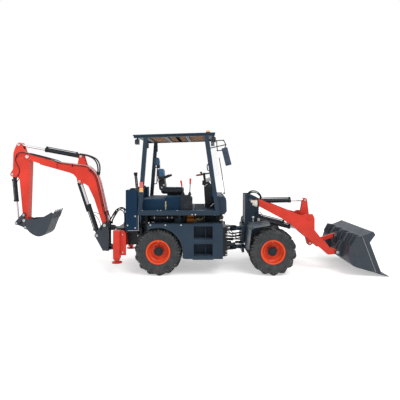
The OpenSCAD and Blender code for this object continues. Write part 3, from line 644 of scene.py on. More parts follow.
def bolts(name, body, spots, radius=0.013, tall=0.011):
    """Hexagon bolts on washers, one at each (place, direction)."""
    washer = [(-0.001, radius * 1.5), (tall * 0.25, radius * 1.5), (tall * 0.3, radius * 1.4)]
    head = [(tall * 0.2, radius), (tall * 0.85, radius), (tall, radius * 0.8)]
    bolt = joined([turned_piece(washer, sides=14), turned_piece(head, sides=6)])
    return fit(repeat(bolt, [aimed(place, way) for place, way in spots]), name, body, "Zinc plate")


def stood(place, across, along, face):
    """Matrix that carries X, Y and Z to three directions and the origin to a place."""
    return Matrix.Translation(place) @ Matrix((across, along, face)).transposed().to_4x4()


SWELL_PRESSURE = 4.0
SWELL_FRAMES = 20


def stuffed(made, voxel, cap):
    """Fill a shell like a cushion: an even mesh, swollen as cloth under pressure, its travel capped."""
    pick(made)
    made.data.remesh_voxel_size = voxel
    bpy.ops.object.voxel_remesh()
    slack = [vertex.co.copy() for vertex in made.data.vertices]
    filling = made.modifiers.new("Filling", "CLOTH")
    filling.settings.use_pressure = True
    filling.settings.uniform_pressure_force = SWELL_PRESSURE
    filling.settings.effector_weights.gravity = 0.0
    for step in range(1, SWELL_FRAMES + 1):
        bpy.context.scene.frame_set(step)
    bpy.ops.object.modifier_apply(modifier=filling.name)
    bpy.context.scene.frame_set(1)
    for vertex, start in zip(made.data.vertices, slack):
        moved = vertex.co - start
        if moved.length > cap:
            vertex.co = start + moved * (cap / moved.length)
    made.modifiers.new("Round", "SUBSURF").levels = 1
    bpy.ops.object.modifier_apply(modifier="Round")
    return made


def sewn(made, away, depth=0.007, width=0.008):
    """Press a sewn channel into a cushion where away(point) comes near zero."""
    for vertex in made.data.vertices:
        far = away(vertex.co) / width
        if abs(far) < 3.0:
            vertex.co -= vertex.normal * depth * math.exp(-far * far)


class BACKHOE_OT_paintwork(bpy.types.Operator):
    """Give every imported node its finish"""

    bl_idname = "backhoe.paintwork"
    bl_label = "Paintwork"

    def execute(self, context):
        paint = paint_of(context)
        dust, sheen = tuple(paint.dust), tuple(paint.sheen)
        finishes = {
            "paint_red": painted("Arm red paint", tuple(paint.red), dust, rough=0.34, gloss=0.3, fade=0.55),
            "paint_rim": painted("Rim orange paint", tuple(paint.rim), dust, rough=0.36, gloss=0.3),
            # Navy, bucket coal and panel grey take the sky sheen as their dust tint: a painted sky reflection on faces
            # that look up.
            "paint_navy": painted("Body navy paint", tuple(paint.navy), sheen, rough=0.45, ledges=0.7, gloss=0.12),
            "paint_charcoal": scuffed_steel("Bucket coal steel", tuple(paint.coal), sheen),
            "paint_black": painted("Frame black paint", tuple(paint.black), dust, rough=0.38, dust=0.08),
            "tyre": moulded("Tyre rubber", tuple(paint.rubber), rough=0.45, grain=260.0, dust=0.16, dust_and_sheen_tint=dust,
                            dust_top=1.3, ledges=0.35, gloss=0.3),
            "chrome": bright_metal("Rod chrome", (0.52, 0.52, 0.55), 0.16),
            "cast_iron": painted("Engine iron", (0.045, 0.045, 0.046), dust, rough=0.55, dust=0.2),
            "seat_vinyl": moulded("Seat vinyl", (0.009, 0.011, 0.014), rough=0.42, grain=420.0),
            "glass": clear_glass("Screen glass"),
            "red_lens": lens("Red lamp lens", (0.62, 0.020, 0.012)),
            "amber_lens": lens("Amber lamp lens", (0.85, 0.36, 0.02)),
            "lamp_white": lens("Clear lamp lens", (0.60, 0.57, 0.50)),
            "black_plastic": moulded("Black moulding", (0.006, 0.009, 0.012), rough=0.48),
        }
        moulded("Hose rubber", (0.007, 0.008, 0.009), rough=0.5, grain=500.0, strength=0.15)
        moulded("Lining board", tuple(paint.lining), rough=0.8, grain=1500.0, strength=0.05, dust=0.0, ledges=0.0,
                gloss=0.05)
        moulded("Matt black", (0.008, 0.009, 0.010), rough=0.9, strength=0.1, dust=0.0, ledges=0.0, gloss=0.0)
        moulded("Tread rubber", lighter(tuple(paint.rubber), 0.02), rough=0.6, grain=260.0, dust=0.4, dust_and_sheen_tint=dust,
                dust_top=1.4, ledges=0.4)
        moulded("Mirror shell", (0.024, 0.038, 0.058), rough=0.4, grain=420.0, strength=0.15)
        moulded("Seat insert", tuple(paint.insert), rough=0.4, grain=420.0)
        moulded("Instrument grey", (0.30, 0.29, 0.28), rough=0.5, strength=0.1)
        moulded("Bottle blue", (0.006, 0.050, 0.260), rough=0.35, strength=0.05)
        painted("Filter orange paint", tuple(paint.canister), dust, dust=0.1)
        painted("Latch yellow", (0.42, 0.36, 0.20), dust, rough=0.45)
        bright_metal("Zinc plate", (0.40, 0.39, 0.38), 0.36)
        # The panel paint also takes the sky sheen: a painted reflection on faces that look up.
        panel = painted("Panel grey paint", tuple(paint.panel), sheen, rough=0.42, dust=0.08, ledges=0.7, gloss=0.15)
        dusty = painted("Dusty fender paint", tuple(paint.panel), dust, rough=0.6, dust=0.35, dust_top=1.6, ledges=0.4)
        painted("Dusty lip paint", (0.070, 0.082, 0.090), dust, rough=0.7, dust=0.6, dust_top=1.8, ledges=0.5, fade=0.9)
        special = {name: panel for name in ("side_panels", "canopy_frame", "deck", "roof", "dash", "front_chassis")}
        special["front_fenders"] = dusty
        slots = {entry["node"]: entry["material_slot"] for entry in frame["record"]["subparts"]}
        for name, node in frame["nodes"].items():
            node.data.materials.clear()
            node.data.materials.append(special.get(name, finishes[slots[name]]))
        return {"FINISHED"}


class BACKHOE_OT_hoses(bpy.types.Operator):
    """Hydraulic hoses and steel pipes of the digger, the loader and the frames' pivot, and the boom rod's guards"""

    bl_idname = "backhoe.hoses"
    bl_label = "Hoses"

    def execute(self, context):
        radius = sizes_of(context).hose_radius
        for side, sign in SIDES:
            self.digger_pipes(side, sign, radius)
            self.digger_hoses(side, sign, radius)
            self.loader_hoses(side, sign, radius)
            self.frame_hoses(side, sign, radius)
        self.rod_guards()
        return {"FINISHED"}

    def rod_guards(self):
        """Two flat bars beside the boom cylinder's rod, carried by its eye."""
        up, left = Vector((-0.3125, 0.0, 0.9499)), Vector((-0.9499, 0.0, -0.3125))
        place = stood(at(-3474, 0, 1931), left, (0.0, -1.0, 0.0), up)
        bars = [block((0.050, y - 0.006, -0.706), (0.082, y + 0.006, -0.014), 0.004) for y in (-0.044, 0.044)]
        bars.append(block((0.018, -0.050, -0.076), (0.080, 0.050, -0.052), 0.004))
        fit(placed(joined(bars), place), "boom_rod_guards", "boom_rod", "Frame black paint")

    # Front and top edge of the boom in side view, from the foot over the knee
    BOOM_EDGE = [(-2892, 1256), (-2909, 1351), (-3027, 1879), (-3082, 2050), (-3150, 2150), (-3255, 2244),
                 (-3337, 2285), (-3528, 2308), (-3700, 2332), (-3935, 2364)]
    # For each pipe: how far inside the edge, how far from the middle plane, how many points of the edge it follows
    PIPES = ((-9, 88, 10), (22, 98, 10), (50, 98, 6))

    def digger_pipes(self, side, sign, radius):
        """Steel pipes clipped along the boom's edge, and one on the dipper's flank."""
        runs = [[at(x, sign * y, z) for x, z in beside(self.BOOM_EDGE, inside)[:last]]
                for inside, y, last in self.PIPES]
        edge, *flanks = [pipe(run, radius * 0.55) for run in runs]
        fit(edge, f"boom_edge_pipe_{side}", "boom", "Zinc plate", smooth=60.0)
        fit(joined(flanks), f"boom_flank_pipes_{side}", "boom", "Frame black paint", smooth=60.0)
        clip = block((-0.010, -0.010, -0.030), (0.010, 0.010, 0.030), bevel=0.005)
        line = beside(self.BOOM_EDGE, 34)
        places = []
        for i, share in ((1, 0.1), (4, 0.5), (7, 0.6)):
            (x0, z0), (x1, z1) = line[i], line[i + 1]
            tilt = math.atan2(z1 - z0, x1 - x0)
            places.append(Matrix.Translation(at(x0 + share * (x1 - x0), sign * 97, z0 + share * (z1 - z0)))
                          @ Matrix.Rotation(-tilt, 4, "Y"))
        fit(repeat(clip, places), f"boom_pipe_clips_{side}", "boom", "Frame black paint")
        run = ((-4915, 2470), (-4922, 2410), (-4896, 2325), (-4845, 2236), (-4833, 2148), (-4856, 2088))
        flank = pipe([at(x, sign * 93, z) for x, z in run], radius * 0.65)
        fit(flank, f"dipper_pipe_{side}", "dipper", "Frame black paint", smooth=60.0)

    def digger_hoses(self, side, sign, radius):
        """Hoses from the tail over the swing to the boom, its cylinder, the dipper and the bucket cylinder."""
        manifold = side_block(sign, (-2866, 122, 946), (-2782, 170, 1000), 0.006)
        port = side_block(sign, (-3002, 124, 846), (-2968, 152, 884), 0.005)
        fit(joined([manifold, port]), f"swing_manifold_{side}", "swing_bracket", "Frame black paint")
        feet = [beside(self.BOOM_EDGE, inside)[0] for inside, _, _ in self.PIPES]
        for i, (y0, y1, top) in enumerate(((60, 134, 1330), (120, 158, 1292)), start=1):
            y0, y1 = sign * y0, sign * y1
            hose(f"swing_hose_{side}_{i}",
                 waypoints((-2453, y0, 936), (-2452, y0, 1040), (-2453, y0, 1140), (-2457, y0, top - 105),
                           (-2488, y0, top - 31), (-2562, 0.8 * y0 + 0.2 * y1, top),
                           (-2636, 0.5 * y0 + 0.5 * y1, top - 31), (-2692, 0.1 * y0 + 0.9 * y1, top - 106),
                           (-2752, y1, (top + 895) / 2), (-2802, y1, 1001)),
                 radius, "rear_frame", "swing_bracket")
            foot_x, foot_z = feet[i - 1]
            foot_y = sign * self.PIPES[i - 1][1]
            hose(f"boom_foot_hose_{side}_{i}",
                 waypoints((-2846, y1, 1001), (-2848, y1, 1080),
                           ((foot_x - 2846) / 2, 0.5 * y1 + 0.5 * foot_y, 1166),
                           (foot_x + 4, 0.1 * y1 + 0.9 * foot_y, foot_z - 34), (foot_x, foot_y, foot_z)),
                 radius, "swing_bracket", "boom")
        hose(f"dipper_cylinder_hose_{side}",
             waypoints((-3082, 70, 2072), (-3064, 74, 2200), (-3082, 90, 2330), (-3145, 98, 2432),
                       (-3245, 100, 2492), (-3350, 98, 2528), (-3440, 80, 2546), (-3508, 44, 2540), side=sign),
             radius * 1.5, "boom", "dipper_barrel")
        hose(f"boom_tip_hose_{side}",
             waypoints((-3932, 96, 2352), (-3985, 112, 2378), (-4060, 127, 2410), (-4200, 129, 2452),
                       (-4420, 131, 2510), (-4628, 139, 2560), (-4767, 145, 2580), (-4866, 126, 2545),
                       (-4915, 94, 2470), side=sign), radius, "boom", "dipper")
        hose(f"digger_bucket_hose_{side}",
             waypoints((-4856, 93, 2088), (-4878, 98, 2052), (-4918, 96, 2002), (-4956, 76, 1948),
                       (-4973, 44, 1895), side=sign), radius * 0.8, "dipper", "hoe_barrel")
        hose(f"boom_cylinder_hose_{side}",
             waypoints((-3226, 46, 1195), (-3223, 84, 1198), (-3194, 122, 1200), (-3128, 138, 1184),
                       (-3060, 142, 1124), (-3012, 142, 1036), (-2990, 140, 950), (-2985, 138, 885), side=sign),
             radius * 0.6, "boom_barrel", "swing_bracket")

    def loader_hoses(self, side, sign, radius):
        """Hoses from the tower to the loader's tilt and lift cylinders."""
        for i, (y, drop) in enumerate(((54, 0), (24, 34)), start=1):
            hose(f"bucket_tilt_hose_{side}_{i}",
                 waypoints((282, y, 1540 - drop), (322, y, 1630 - drop), (412, y, 1706 - drop),
                           (530, y, 1700 - drop), (612, y, 1630 - drop), (640, y - 8, 1545), side=sign),
                 radius, "front_frame", "lift_arms")
        hose(f"lift_cylinder_hose_{side}",
             waypoints((470, 258, 1180), (500, 290, 1240), (560, 316, 1262), (612, 318, 1220), (622, 318, 1158),
                       side=sign), radius * 0.55, "front_frame", "lift_barrels")

    def frame_hoses(self, side, sign, radius):
        """Hoses across the frames' pivot, and one to the stabilizer."""
        for i, (y, z) in enumerate(((205, 800), (160, 742), (112, 668)), start=1):
            hose(f"pivot_hose_{side}_{i}",
                 waypoints((-206, y, z), (-120, y * 1.05, z - 14), (-20, y * 1.12, z - 26),
                           (80, y * 1.05, z - 14), (171, y, z), side=sign), radius, "rear_frame", "front_frame")
        hose(f"pivot_hose_{side}_4",
             waypoints((-206, 262, 856), (-128, 264, 840), (-40, 266, 762), (50, 262, 690), (110, 258, 654),
                       (171, 254, 640), side=sign), radius * 0.8, "rear_frame", "front_frame")
        hose(f"stabilizer_hose_{side}",
             waypoints((-2561, 380, 800), (-2600, 420, 850), (-2606, 520, 930), (-2560, 640, 1000),
                       (-2500, 715, 1000), (-2470, 730, 932), side=sign),
             radius * 0.45, "rear_frame")


class BACKHOE_OT_wheel_trim(bpy.types.Operator):
    """Hub caps, wheel nuts, valves, sidewall ribs and shoulder lugs"""

    bl_idname = "backhoe.wheel_trim"
    bl_label = "Wheel trim"

    NUT_CIRCLE = 0.115
    NUTS = 8
    CAP_BOLT_CIRCLE = 0.080
    CAP_BOLTS = 6
    SHOULDER_LUGS = 40
    # Radius and distance from the wheel's middle plane of each rib
    RIBS = ((0.268, 0.178), (0.330, 0.188), (0.392, 0.1795))

    def execute(self, context):
        for end in ("rear", "front"):
            for side, sign in SIDES:
                self.dress_wheel(f"{end}_{side}", sign)
        return {"FINISHED"}

    def dress_wheel(self, which, sign):
        """All trim of one wheel, on its outer side."""
        body = f"wheel_{which}"
        outwards = Vector((0.0, sign, 0.0))
        middle = PINS[f"wheel_{which}_spin"]
        cap = turned_piece(
            [(0.0, 0.096), (0.010, 0.096), (0.013, 0.093), (0.013, 0.066), (0.034, 0.060), (0.040, 0.052),
             (0.040, 0.024), (0.048, 0.022), (0.050, 0.018)], middle + outwards * 0.0755, outwards, sides=36)
        fit(cap, f"hub_cap_{which}", body, "Frame black paint")
        place = aimed(middle - outwards * 0.0045, outwards)
        ring = [place @ Matrix.Rotation(math.tau * i / self.NUTS, 4, "Z")
                @ Matrix.Translation((self.NUT_CIRCLE, 0, 0)) for i in range(self.NUTS)]
        nut = joined([turned_piece([(0.0, 0.021), (0.005, 0.021), (0.006, 0.018)], sides=20),
                      turned_piece([(0.004, 0.0155), (0.021, 0.0155), (0.024, 0.0125)], sides=6),
                      turned_piece([(0.02, 0.0095), (0.033, 0.0095), (0.035, 0.0075)], sides=14)])
        fit(repeat(nut, ring), f"wheel_nuts_{which}", body, "Rim orange paint")
        cap_bolt = turned_piece([(0.0, 0.009), (0.007, 0.009), (0.008, 0.0075)], sides=6)
        place = aimed(middle + outwards * 0.0865, outwards)
        spots = [place @ Matrix.Rotation(math.tau * (i + 0.5) / self.CAP_BOLTS, 4, "Z")
                 @ Matrix.Translation((self.CAP_BOLT_CIRCLE, 0, 0)) for i in range(self.CAP_BOLTS)]
        fit(repeat(cap_bolt, spots), f"hub_bolts_{which}", body, "Panel grey paint")
        stem = middle + Vector((0.0, sign * 0.086, 0.205))
        valve = turned_piece([(0.0, 0.008), (0.022, 0.007), (0.024, 0.0055), (0.046, 0.0055), (0.048, 0.0045)], stem,
                             outwards, sides=14)
        fit(valve, f"valve_{which}", body, "Zinc plate")
        ribs = [self.rib(middle, sign, radius, out) for radius, out in self.RIBS]
        fit(joined(ribs), f"sidewall_ribs_{which}", body, "Tyre rubber", smooth=60.0)
        self.shoulder_lugs(which, aimed(middle, outwards))

    def shoulder_lugs(self, which, place):
        """Short bars that carry the tread over both shoulders of the tyre."""
        bar = block((-0.034, -0.011, -0.009), (0.034, 0.011, 0.009), 0.004, 1)
        spots = []
        slant = Matrix.Rotation(math.radians(16), 4, "Z")
        for i in range(self.SHOULDER_LUGS):
            turn = place @ Matrix.Rotation(math.tau * i / self.SHOULDER_LUGS, 4, "Z")
            for out, fall in ((0.159, 38), (-0.159, -38)):
                spots.append(turn @ Matrix.Translation((0.434, 0, out))
                             @ Matrix.Rotation(math.radians(fall), 4, "Y") @ slant)
        fit(repeat(bar, spots), f"shoulder_lugs_{which}", f"wheel_{which}", "Tread rubber")

    def rib(self, middle, sign, radius, out):
        """A low round rib on the tyre's outer wall, spun from its section."""
        pick_none()
        start = middle + Vector((radius, sign * out, 0.0))
        bpy.ops.mesh.primitive_circle_add(vertices=8, radius=0.005, location=start)
        made = settle(bpy.context.object)
        edit_all(made)
        bpy.ops.mesh.select_mode(type="VERT")
        bpy.ops.mesh.select_all(action="SELECT")
        bpy.ops.mesh.spin(steps=72, angle=math.tau, center=middle, axis=(0.0, 1.0, 0.0))
        bpy.ops.mesh.select_all(action="SELECT")
        bpy.ops.mesh.remove_doubles(threshold=0.0005)
        bpy.ops.mesh.normals_make_consistent(inside=False)
        edit_done()
        return made


class BACKHOE_OT_pin_heads(bpy.types.Operator):
    """Pin heads with grease nipples at the pivots"""

    bl_idname = "backhoe.pin_heads"
    bl_label = "Pin heads"

    # Name, point in side view, distance from the middle plane, radius, body
    PLACES = (
        ("arm_pivot", (480, 1480), 464, 46, "front_frame"),
        ("lift_base", (527, 1110), 372, 34, "front_frame"),
        ("lift_eye", (1405, 892), 460, 36, "lift_arms"),
        ("bell_pivot", (1618, 1142), 460, 40, "lift_arms"),
        ("bucket_pin", (2215, 417), 495, 34, "loader_bucket"),
        ("bell_top", (1626, 1506), 69, 24, "bell_crank"),
        ("bell_low", (1734, 530), 69, 24, "bell_crank"),
        ("bucket_link", (2320, 715), 57, 32, "loader_bucket"),
        ("boom_foot", (-2900, 946), 137, 34, "swing_bracket"),
        ("boom_cylinder_base", (-3074, 715), 135, 30, "swing_bracket"),
        ("boom_cylinder_eye", (-3474, 1931), 99, 30, "boom"),
        ("dipper_cylinder_base", (-3447, 2497), 88, 28, "boom"),
        ("boom_tip", (-4648, 2488), 123, 38, "boom"),
        ("dipper_cylinder_eye", (-4847, 2760), 96, 30, "dipper"),
        ("digger_cylinder_base", (-4989, 2093), 96, 26, "dipper"),
        ("guide_pin", (-4726, 1174), 120, 26, "dipper"),
        ("link_joint", (-4891, 989), 122, 26, "guide_link"),
        ("digger_bucket_pin", (-4703, 1055), 152, 30, "dipper"),
        ("digger_link_pin", (-4671, 902), 152, 26, "hoe_bucket"),
    )

    # Pins painted over with the arms
    PAINTED = ("lift_eye", "bell_pivot")

    def execute(self, context):
        for name, (x, z), y, radius, body in self.PLACES:
            finish, slot = ("Arm red paint", "paint_red") if name in self.PAINTED else ("Zinc plate", "chrome")
            r = radius * MM
            profile = [(-0.001, r), (0.006, r), (0.010, r * 0.88), (0.010, r * 0.5), (0.007, r * 0.45),
                       (0.007, 0.007), (0.016, 0.006), (0.020, 0.004)]
            heads = [turned_piece(profile, at(x, sign * y, z), (0.0, sign, 0.0), sides=28) for _, sign in SIDES]
            fit(joined(heads), f"pin_heads_{name}", body, finish)
        return {"FINISHED"}


class BACKHOE_OT_lamps(bpy.types.Operator):
    """Lenses, bezels and the beacon's collar"""

    bl_idname = "backhoe.lamps"
    bl_label = "Lamps"

    # Work lamps: how much lower the rear pair hangs, and the faces' middle under the lamps' top in millimetres
    REAR_DROP = 0.047
    FACE_DROP = 115

    def execute(self, context):
        bezels, lenses = [], []
        for _, sign in SIDES:
            for x, ahead in ((-2100, -1), (-426, 1)):
                self.work_lamp(x, sign, ahead, bezels, lenses)
        fit(joined(bezels), "work_lamp_bezels", "rear_frame", "Black moulding")
        fit(joined(lenses), "work_lamp_lenses", "rear_frame", "Clear lamp lens")
        self.head_lamps()
        self.tail_lamps()
        self.beacon_collar()
        return {"FINISHED"}

    def work_lamp(self, x, sign, ahead, bezels, lenses):
        """A ring and a domed lens on one lamp's face, which looks ahead or back."""
        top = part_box("work_lamps")[1].z
        if ahead < 0:
            top -= self.REAR_DROP
        face, way = at(x, sign * 645, top / MM - self.FACE_DROP), Vector((ahead, 0.0, 0.0))
        ring = [(0.0, 0.052), (0.010, 0.052), (0.013, 0.049), (0.013, 0.044), (0.007, 0.043)]
        dome = [(0.0, 0.043), (0.009, 0.043), (0.013, 0.036), (0.016, 0.022), (0.017, 0.008)]
        bezels.append(turned_piece(ring, face, way, sides=32))
        lenses.append(turned_piece(dome, face, way, sides=32))

    def head_lamps(self):
        """A ribbed glass in a black ring, on each lamp's wide end."""
        rings, glasses = [], []
        ring = [(-0.022, 0.081), (-0.020, 0.086), (0.006, 0.086), (0.009, 0.083), (0.009, 0.073), (0.001, 0.072)]
        dome = [(0.0005, 0.073), (0.006, 0.072), (0.012, 0.055), (0.016, 0.034), (0.018, 0.010)]
        for _, sign in SIDES:
            face, way = at(490, sign * 567, 1475), Vector((1.0, 0.0, 0.0))
            rings.append(turned_piece(ring, face, way, sides=40))
            glasses.append(turned_piece(dome, face, way, sides=40))
        fit(joined(rings), "head_lamp_rings", "front_frame", "Black moulding")
        fit(joined(glasses), "head_lamp_glasses", "front_frame", "Clear lamp lens")

    def tail_lamps(self):
        """Red over amber, each a rounded lens over the lamp's body."""
        lo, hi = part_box("tail_lamps")
        split = lo.z + (hi.z - lo.z) * 0.42
        for name, bottom, top in (("red", split + 0.002, hi.z + 0.001), ("amber", lo.z - 0.001, split - 0.002)):
            lenses = []
            for _, sign in SIDES:
                near, far = sorted((sign * (hi.y - 0.020), sign * (hi.y + 0.006)))
                lenses.append(block((lo.x - 0.0015, near, bottom), (hi.x + 0.0015, far, top), 0.005, 3))
            fit(joined(lenses), f"tail_lamp_{name}_lenses", "rear_frame", f"{name.capitalize()} lamp lens")

    def beacon_collar(self):
        """A stepped rubber ring round the beacon's foot."""
        lo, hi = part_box("beacon")
        middle = (lo + hi) / 2
        collar = turned_piece([(0.004, 0.055), (0.016, 0.055), (0.020, 0.051), (0.020, 0.046), (0.024, 0.0455)],
                              (middle.x, middle.y, lo.z), sides=36)
        fit(collar, "beacon_collar", "rear_frame", "Black moulding")


class BACKHOE_OT_cab_fittings(bpy.types.Operator):
    """Fittings of the driver's place: mat, pedals, gauges, levers, vents, handles, roof lining, wiper and mirror"""

    bl_idname = "backhoe.cab_fittings"
    bl_label = "Cab fittings"

    def execute(self, context):
        self.floor_mat()
        self.pedals()
        self.wheel_and_gauges()
        self.levers()
        self.column_fittings()
        self.console_vents()
        self.handles()
        self.roof_lining()
        self.wiper()
        self.mirror()
        return {"FINISHED"}

    def floor_mat(self):
        """A tread plate with raised bars."""
        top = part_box("deck")[1].z
        rear, middle, front = (at(x, 0, 0).x for x in (-890, -770, -650))
        mat = block((rear, -0.62, top + 0.0005), (front, 0.62, top + 0.006), 0.002)
        bar = block((-0.105, -0.006, 0.0), (0.105, 0.006, 0.005), 0.002, 1)
        bars = repeat(bar, [Matrix.Translation((middle, -0.59 + 0.0295 * i, top + 0.0055)) for i in range(41)])
        # The panel paint lays the painted sky sheen on the mat's top.
        fit(joined([mat, bars]), "floor_mat", "rear_frame", "Panel grey paint")

    def pedals(self):
        """Three rubber pads on bent stems."""
        pads, stems = [], []
        for y in (-190, 165, 245):
            pad = block((-0.008, -0.030, -0.045), (0.008, 0.030, 0.045), 0.004)
            pads.append(placed(pad, pitched(at(-600, y, 1452), -35)))
            stems.append(pipe(waypoints((-594, y, 1448), (-560, y, 1440), (-520, y, 1400), (-500, y, 1348)), 0.008))
        fit(joined(pads), "pedal_pads", "rear_frame", "Tyre rubber")
        fit(joined(stems), "pedal_stems", "rear_frame", "Frame black paint")

    def wheel_and_gauges(self):
        """The steering wheel's cap and knob, and blank dials on the column's head."""
        hub, tilt = at(-665, 0, 2085), Vector((-0.156, 0.0, 0.988))
        cap = turned_piece([(0.020, 0.044), (0.030, 0.043), (0.036, 0.036), (0.039, 0.020)], hub, tilt, sides=32)
        knob = turned_piece([(0.0, 0.012), (0.012, 0.010), (0.016, 0.020), (0.040, 0.026), (0.052, 0.022),
                             (0.056, 0.010)], hub + Vector((-0.060, -0.158, 0.012)), tilt, sides=24)
        fit(joined([cap, knob]), "steering_wheel_cap", "rear_frame", "Black moulding")
        self.wheel_cover(hub, tilt)
        up = Vector((-0.125, 0.0, 0.992))
        rings, faces = [], []
        ring = [(-0.002, 0.031), (0.008, 0.031), (0.011, 0.028), (0.011, 0.025), (0.004, 0.024)]
        dial = [(0.002, 0.0245), (0.0055, 0.0245), (0.0065, 0.020), (0.007, 0.005)]
        for y in (-72, 0, 72):
            place = at(-600, y, 1926)
            rings.append(turned_piece(ring, place, up, sides=28))
            faces.append(turned_piece(dial, place, up, sides=28))
        fit(joined(rings), "gauge_rings", "rear_frame", "Zinc plate")
        fit(joined(faces), "gauge_faces", "rear_frame", "Clear lamp lens")

    def wheel_cover(self, hub, tilt):
        """A red sleeve laced round the rear of the steering wheel's rim."""
        lo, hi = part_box("steering_column")
        reach = (hi.y - lo.y) / 2 - 0.013
        forward = Vector((0.988, 0.0, 0.156))
        middle = hub + tilt * 0.004
        turns = [math.radians(105 + 10 * i) for i in range(16)]
        arc = [middle + forward * (reach * math.cos(a)) + Vector((0.0, reach * math.sin(a), 0.0)) for a in turns]
        fit(tube(arc, 0.016), "steering_wheel_cover", "rear_frame", "Arm red paint", smooth=60.0)

    def levers(self):
        """Red grips and ribbed boots on the console, black grips behind."""
        grip = [(-0.050, 0.012), (-0.046, 0.018), (-0.010, 0.022), (0.012, 0.0265), (0.028, 0.027), (0.036, 0.020),
                (0.039, 0.008)]
        slim = [(0.0, 0.012), (0.006, 0.0185), (0.030, 0.0185), (0.036, 0.0200), (0.044, 0.0185), (0.085, 0.0200),
                (0.100, 0.0225), (0.113, 0.0205), (0.119, 0.010)]
        red = [turned_piece(slim, at(-1134, -590, 1850), (-0.148, 0.0, 0.989), sides=20),
               turned_piece(slim, at(-955, -590, 1893), (0.042, 0.0, 0.999), sides=20)]
        fit(joined(red), "loader_lever_grips", "rear_frame", "Arm red paint")
        black = [turned_piece(grip, at(-2225, y, 2096), (-0.09, 0.0, 1.0), sides=24) for y in (-90, 90)]
        black += [pipe(waypoints((-2192, y, 1745), (-2202, y, 1860), (-2213, y, 1970), (-2222, y, 2058)), 0.016)
                  for y in (-90, 90)]
        fit(joined(black), "digger_lever_grips", "rear_frame", "Black moulding")
        boot = [(0.0, 0.040), (0.006, 0.041), (0.012, 0.034), (0.020, 0.038), (0.028, 0.029), (0.036, 0.032),
                (0.044, 0.023), (0.052, 0.025), (0.062, 0.016), (0.070, 0.013)]
        boots = [turned_piece(boot, at(x, -590, 1657.5), sides=28) for x in (-1105, -966)]
        boots += [turned_piece(boot, at(-2190, y, 1700.5), (-0.09, 0.0, 1.0), sides=28) for y in (-90, 90)]
        fit(joined(boots), "lever_boots", "rear_frame", "Tyre rubber")

    def column_fittings(self):
        """Instrument pod, switch box, direction lever, brake fluid bottle and pedal rod at the steering column."""
        pod = block((-0.062, -0.100, -0.042), (0.062, 0.100, 0.042), 0.020, 4)
        fit(placed(pod, pitched(at(-566, 0, 1964), -22)), "instrument_pod", "rear_frame", "Instrument grey")
        switches = block(at(-706, -62, 1846), at(-650, 62, 1952), 0.012, 3)
        fit(switches, "switch_box", "rear_frame", "Black moulding")
        lever = pipe(waypoints((-592, -108, 1872), (-612, -124, 1856), (-634, -140, 1836), (-654, -152, 1814)), 0.008)
        rod = pipe(waypoints((-518, -300, 1388), (-480, -300, 1422), (-440, -300, 1458), (-402, -300, 1492)), 0.008)
        fit(joined([lever, rod]), "direction_lever", "rear_frame", "Zinc plate", smooth=60.0)
        bottle = block(at(-482, -158, 1568), at(-424, -106, 1664), 0.014, 3)
        cap = turned_piece([(0.0, 0.020), (0.014, 0.020), (0.017, 0.016)], at(-453, -132, 1662), sides=20)
        fit(joined([bottle, cap]), "brake_fluid_bottle", "rear_frame", "Bottle blue")

    def console_vents(self):
        """Two rows of short slots with pale lips on the console's side."""
        slot = block((-0.009, -0.004, -0.005), (0.009, 0.004, 0.005), 0.0025, 1)
        places = [Matrix.Translation(at(-1098 + 27 * i, -700, z)) for z in (1452, 1399) for i in range(6)]
        fit(repeat(slot, places), "console_vents", "rear_frame", "Mirror shell")

    def handles(self):
        """Grab handles and hinges on the posts."""
        rear = pipe(waypoints((-1936, 778, 1846), (-1880, 778, 1844), (-1846, 778, 1870), (-1840, 778, 2050),
                              (-1836, 778, 2225), (-1862, 778, 2252), (-1906, 778, 2254)), 0.012)
        fronts = [pipe(waypoints((-540, 778, 2312), (-582, 778, 2306), (-594, 778, 2276), (-586, 778, 2205),
                                 (-570, 778, 2176), (-520, 778, 2168), side=sign), 0.009) for _, sign in SIDES]
        fit(joined([rear, *fronts]), "grab_handles", "rear_frame", "Frame black paint", smooth=60.0)
        hinges = [side_block(sign, (-1846, 752, 2640), (-1822, 792, 2815), 0.008) for _, sign in SIDES]
        fit(joined(hinges), "post_hinges", "rear_frame", "Black moulding")

    # The roof's underside in millimetres: its rear edge, its height there, and its rise over its length
    ROOF_REAR, ROOF_LOW, ROOF_RISE, ROOF_LENGTH = -2127, 2890, 52, 1699

    def under_roof(self, x):
        """Matrix of a piece that hangs from the sloping roof, at a distance along the machine."""
        z = self.ROOF_LOW + (x - self.ROOF_REAR) * self.ROOF_RISE / self.ROOF_LENGTH
        slope = math.atan(self.ROOF_RISE / self.ROOF_LENGTH)
        return Matrix.Translation(at(x, 0, z)) @ Matrix.Rotation(-slope, 4, "Y")

    def roof_lining(self):
        """Lining boards and cross rails under the roof."""
        boards, rails = [], []
        for start, end in ((-1826, -1506), (-1424, -1056), (-974, -651)):
            x = (start + end) / 2
            board = block(((start - x) * MM, -0.730, -0.020), ((end - x) * MM, 0.730, -0.004), 0.004)
            boards.append(placed(board, self.under_roof(x)))
        fit(joined(boards), "roof_lining", "rear_frame", "Lining board")
        for x in (-1465, -1240, -1015):
            rail = block((-0.034, -0.735, -0.034), (0.034, 0.735, -0.002), 0.006)
            rails.append(placed(rail, self.under_roof(x)))
        fit(joined(rails), "roof_rails", "rear_frame", "Matt black")

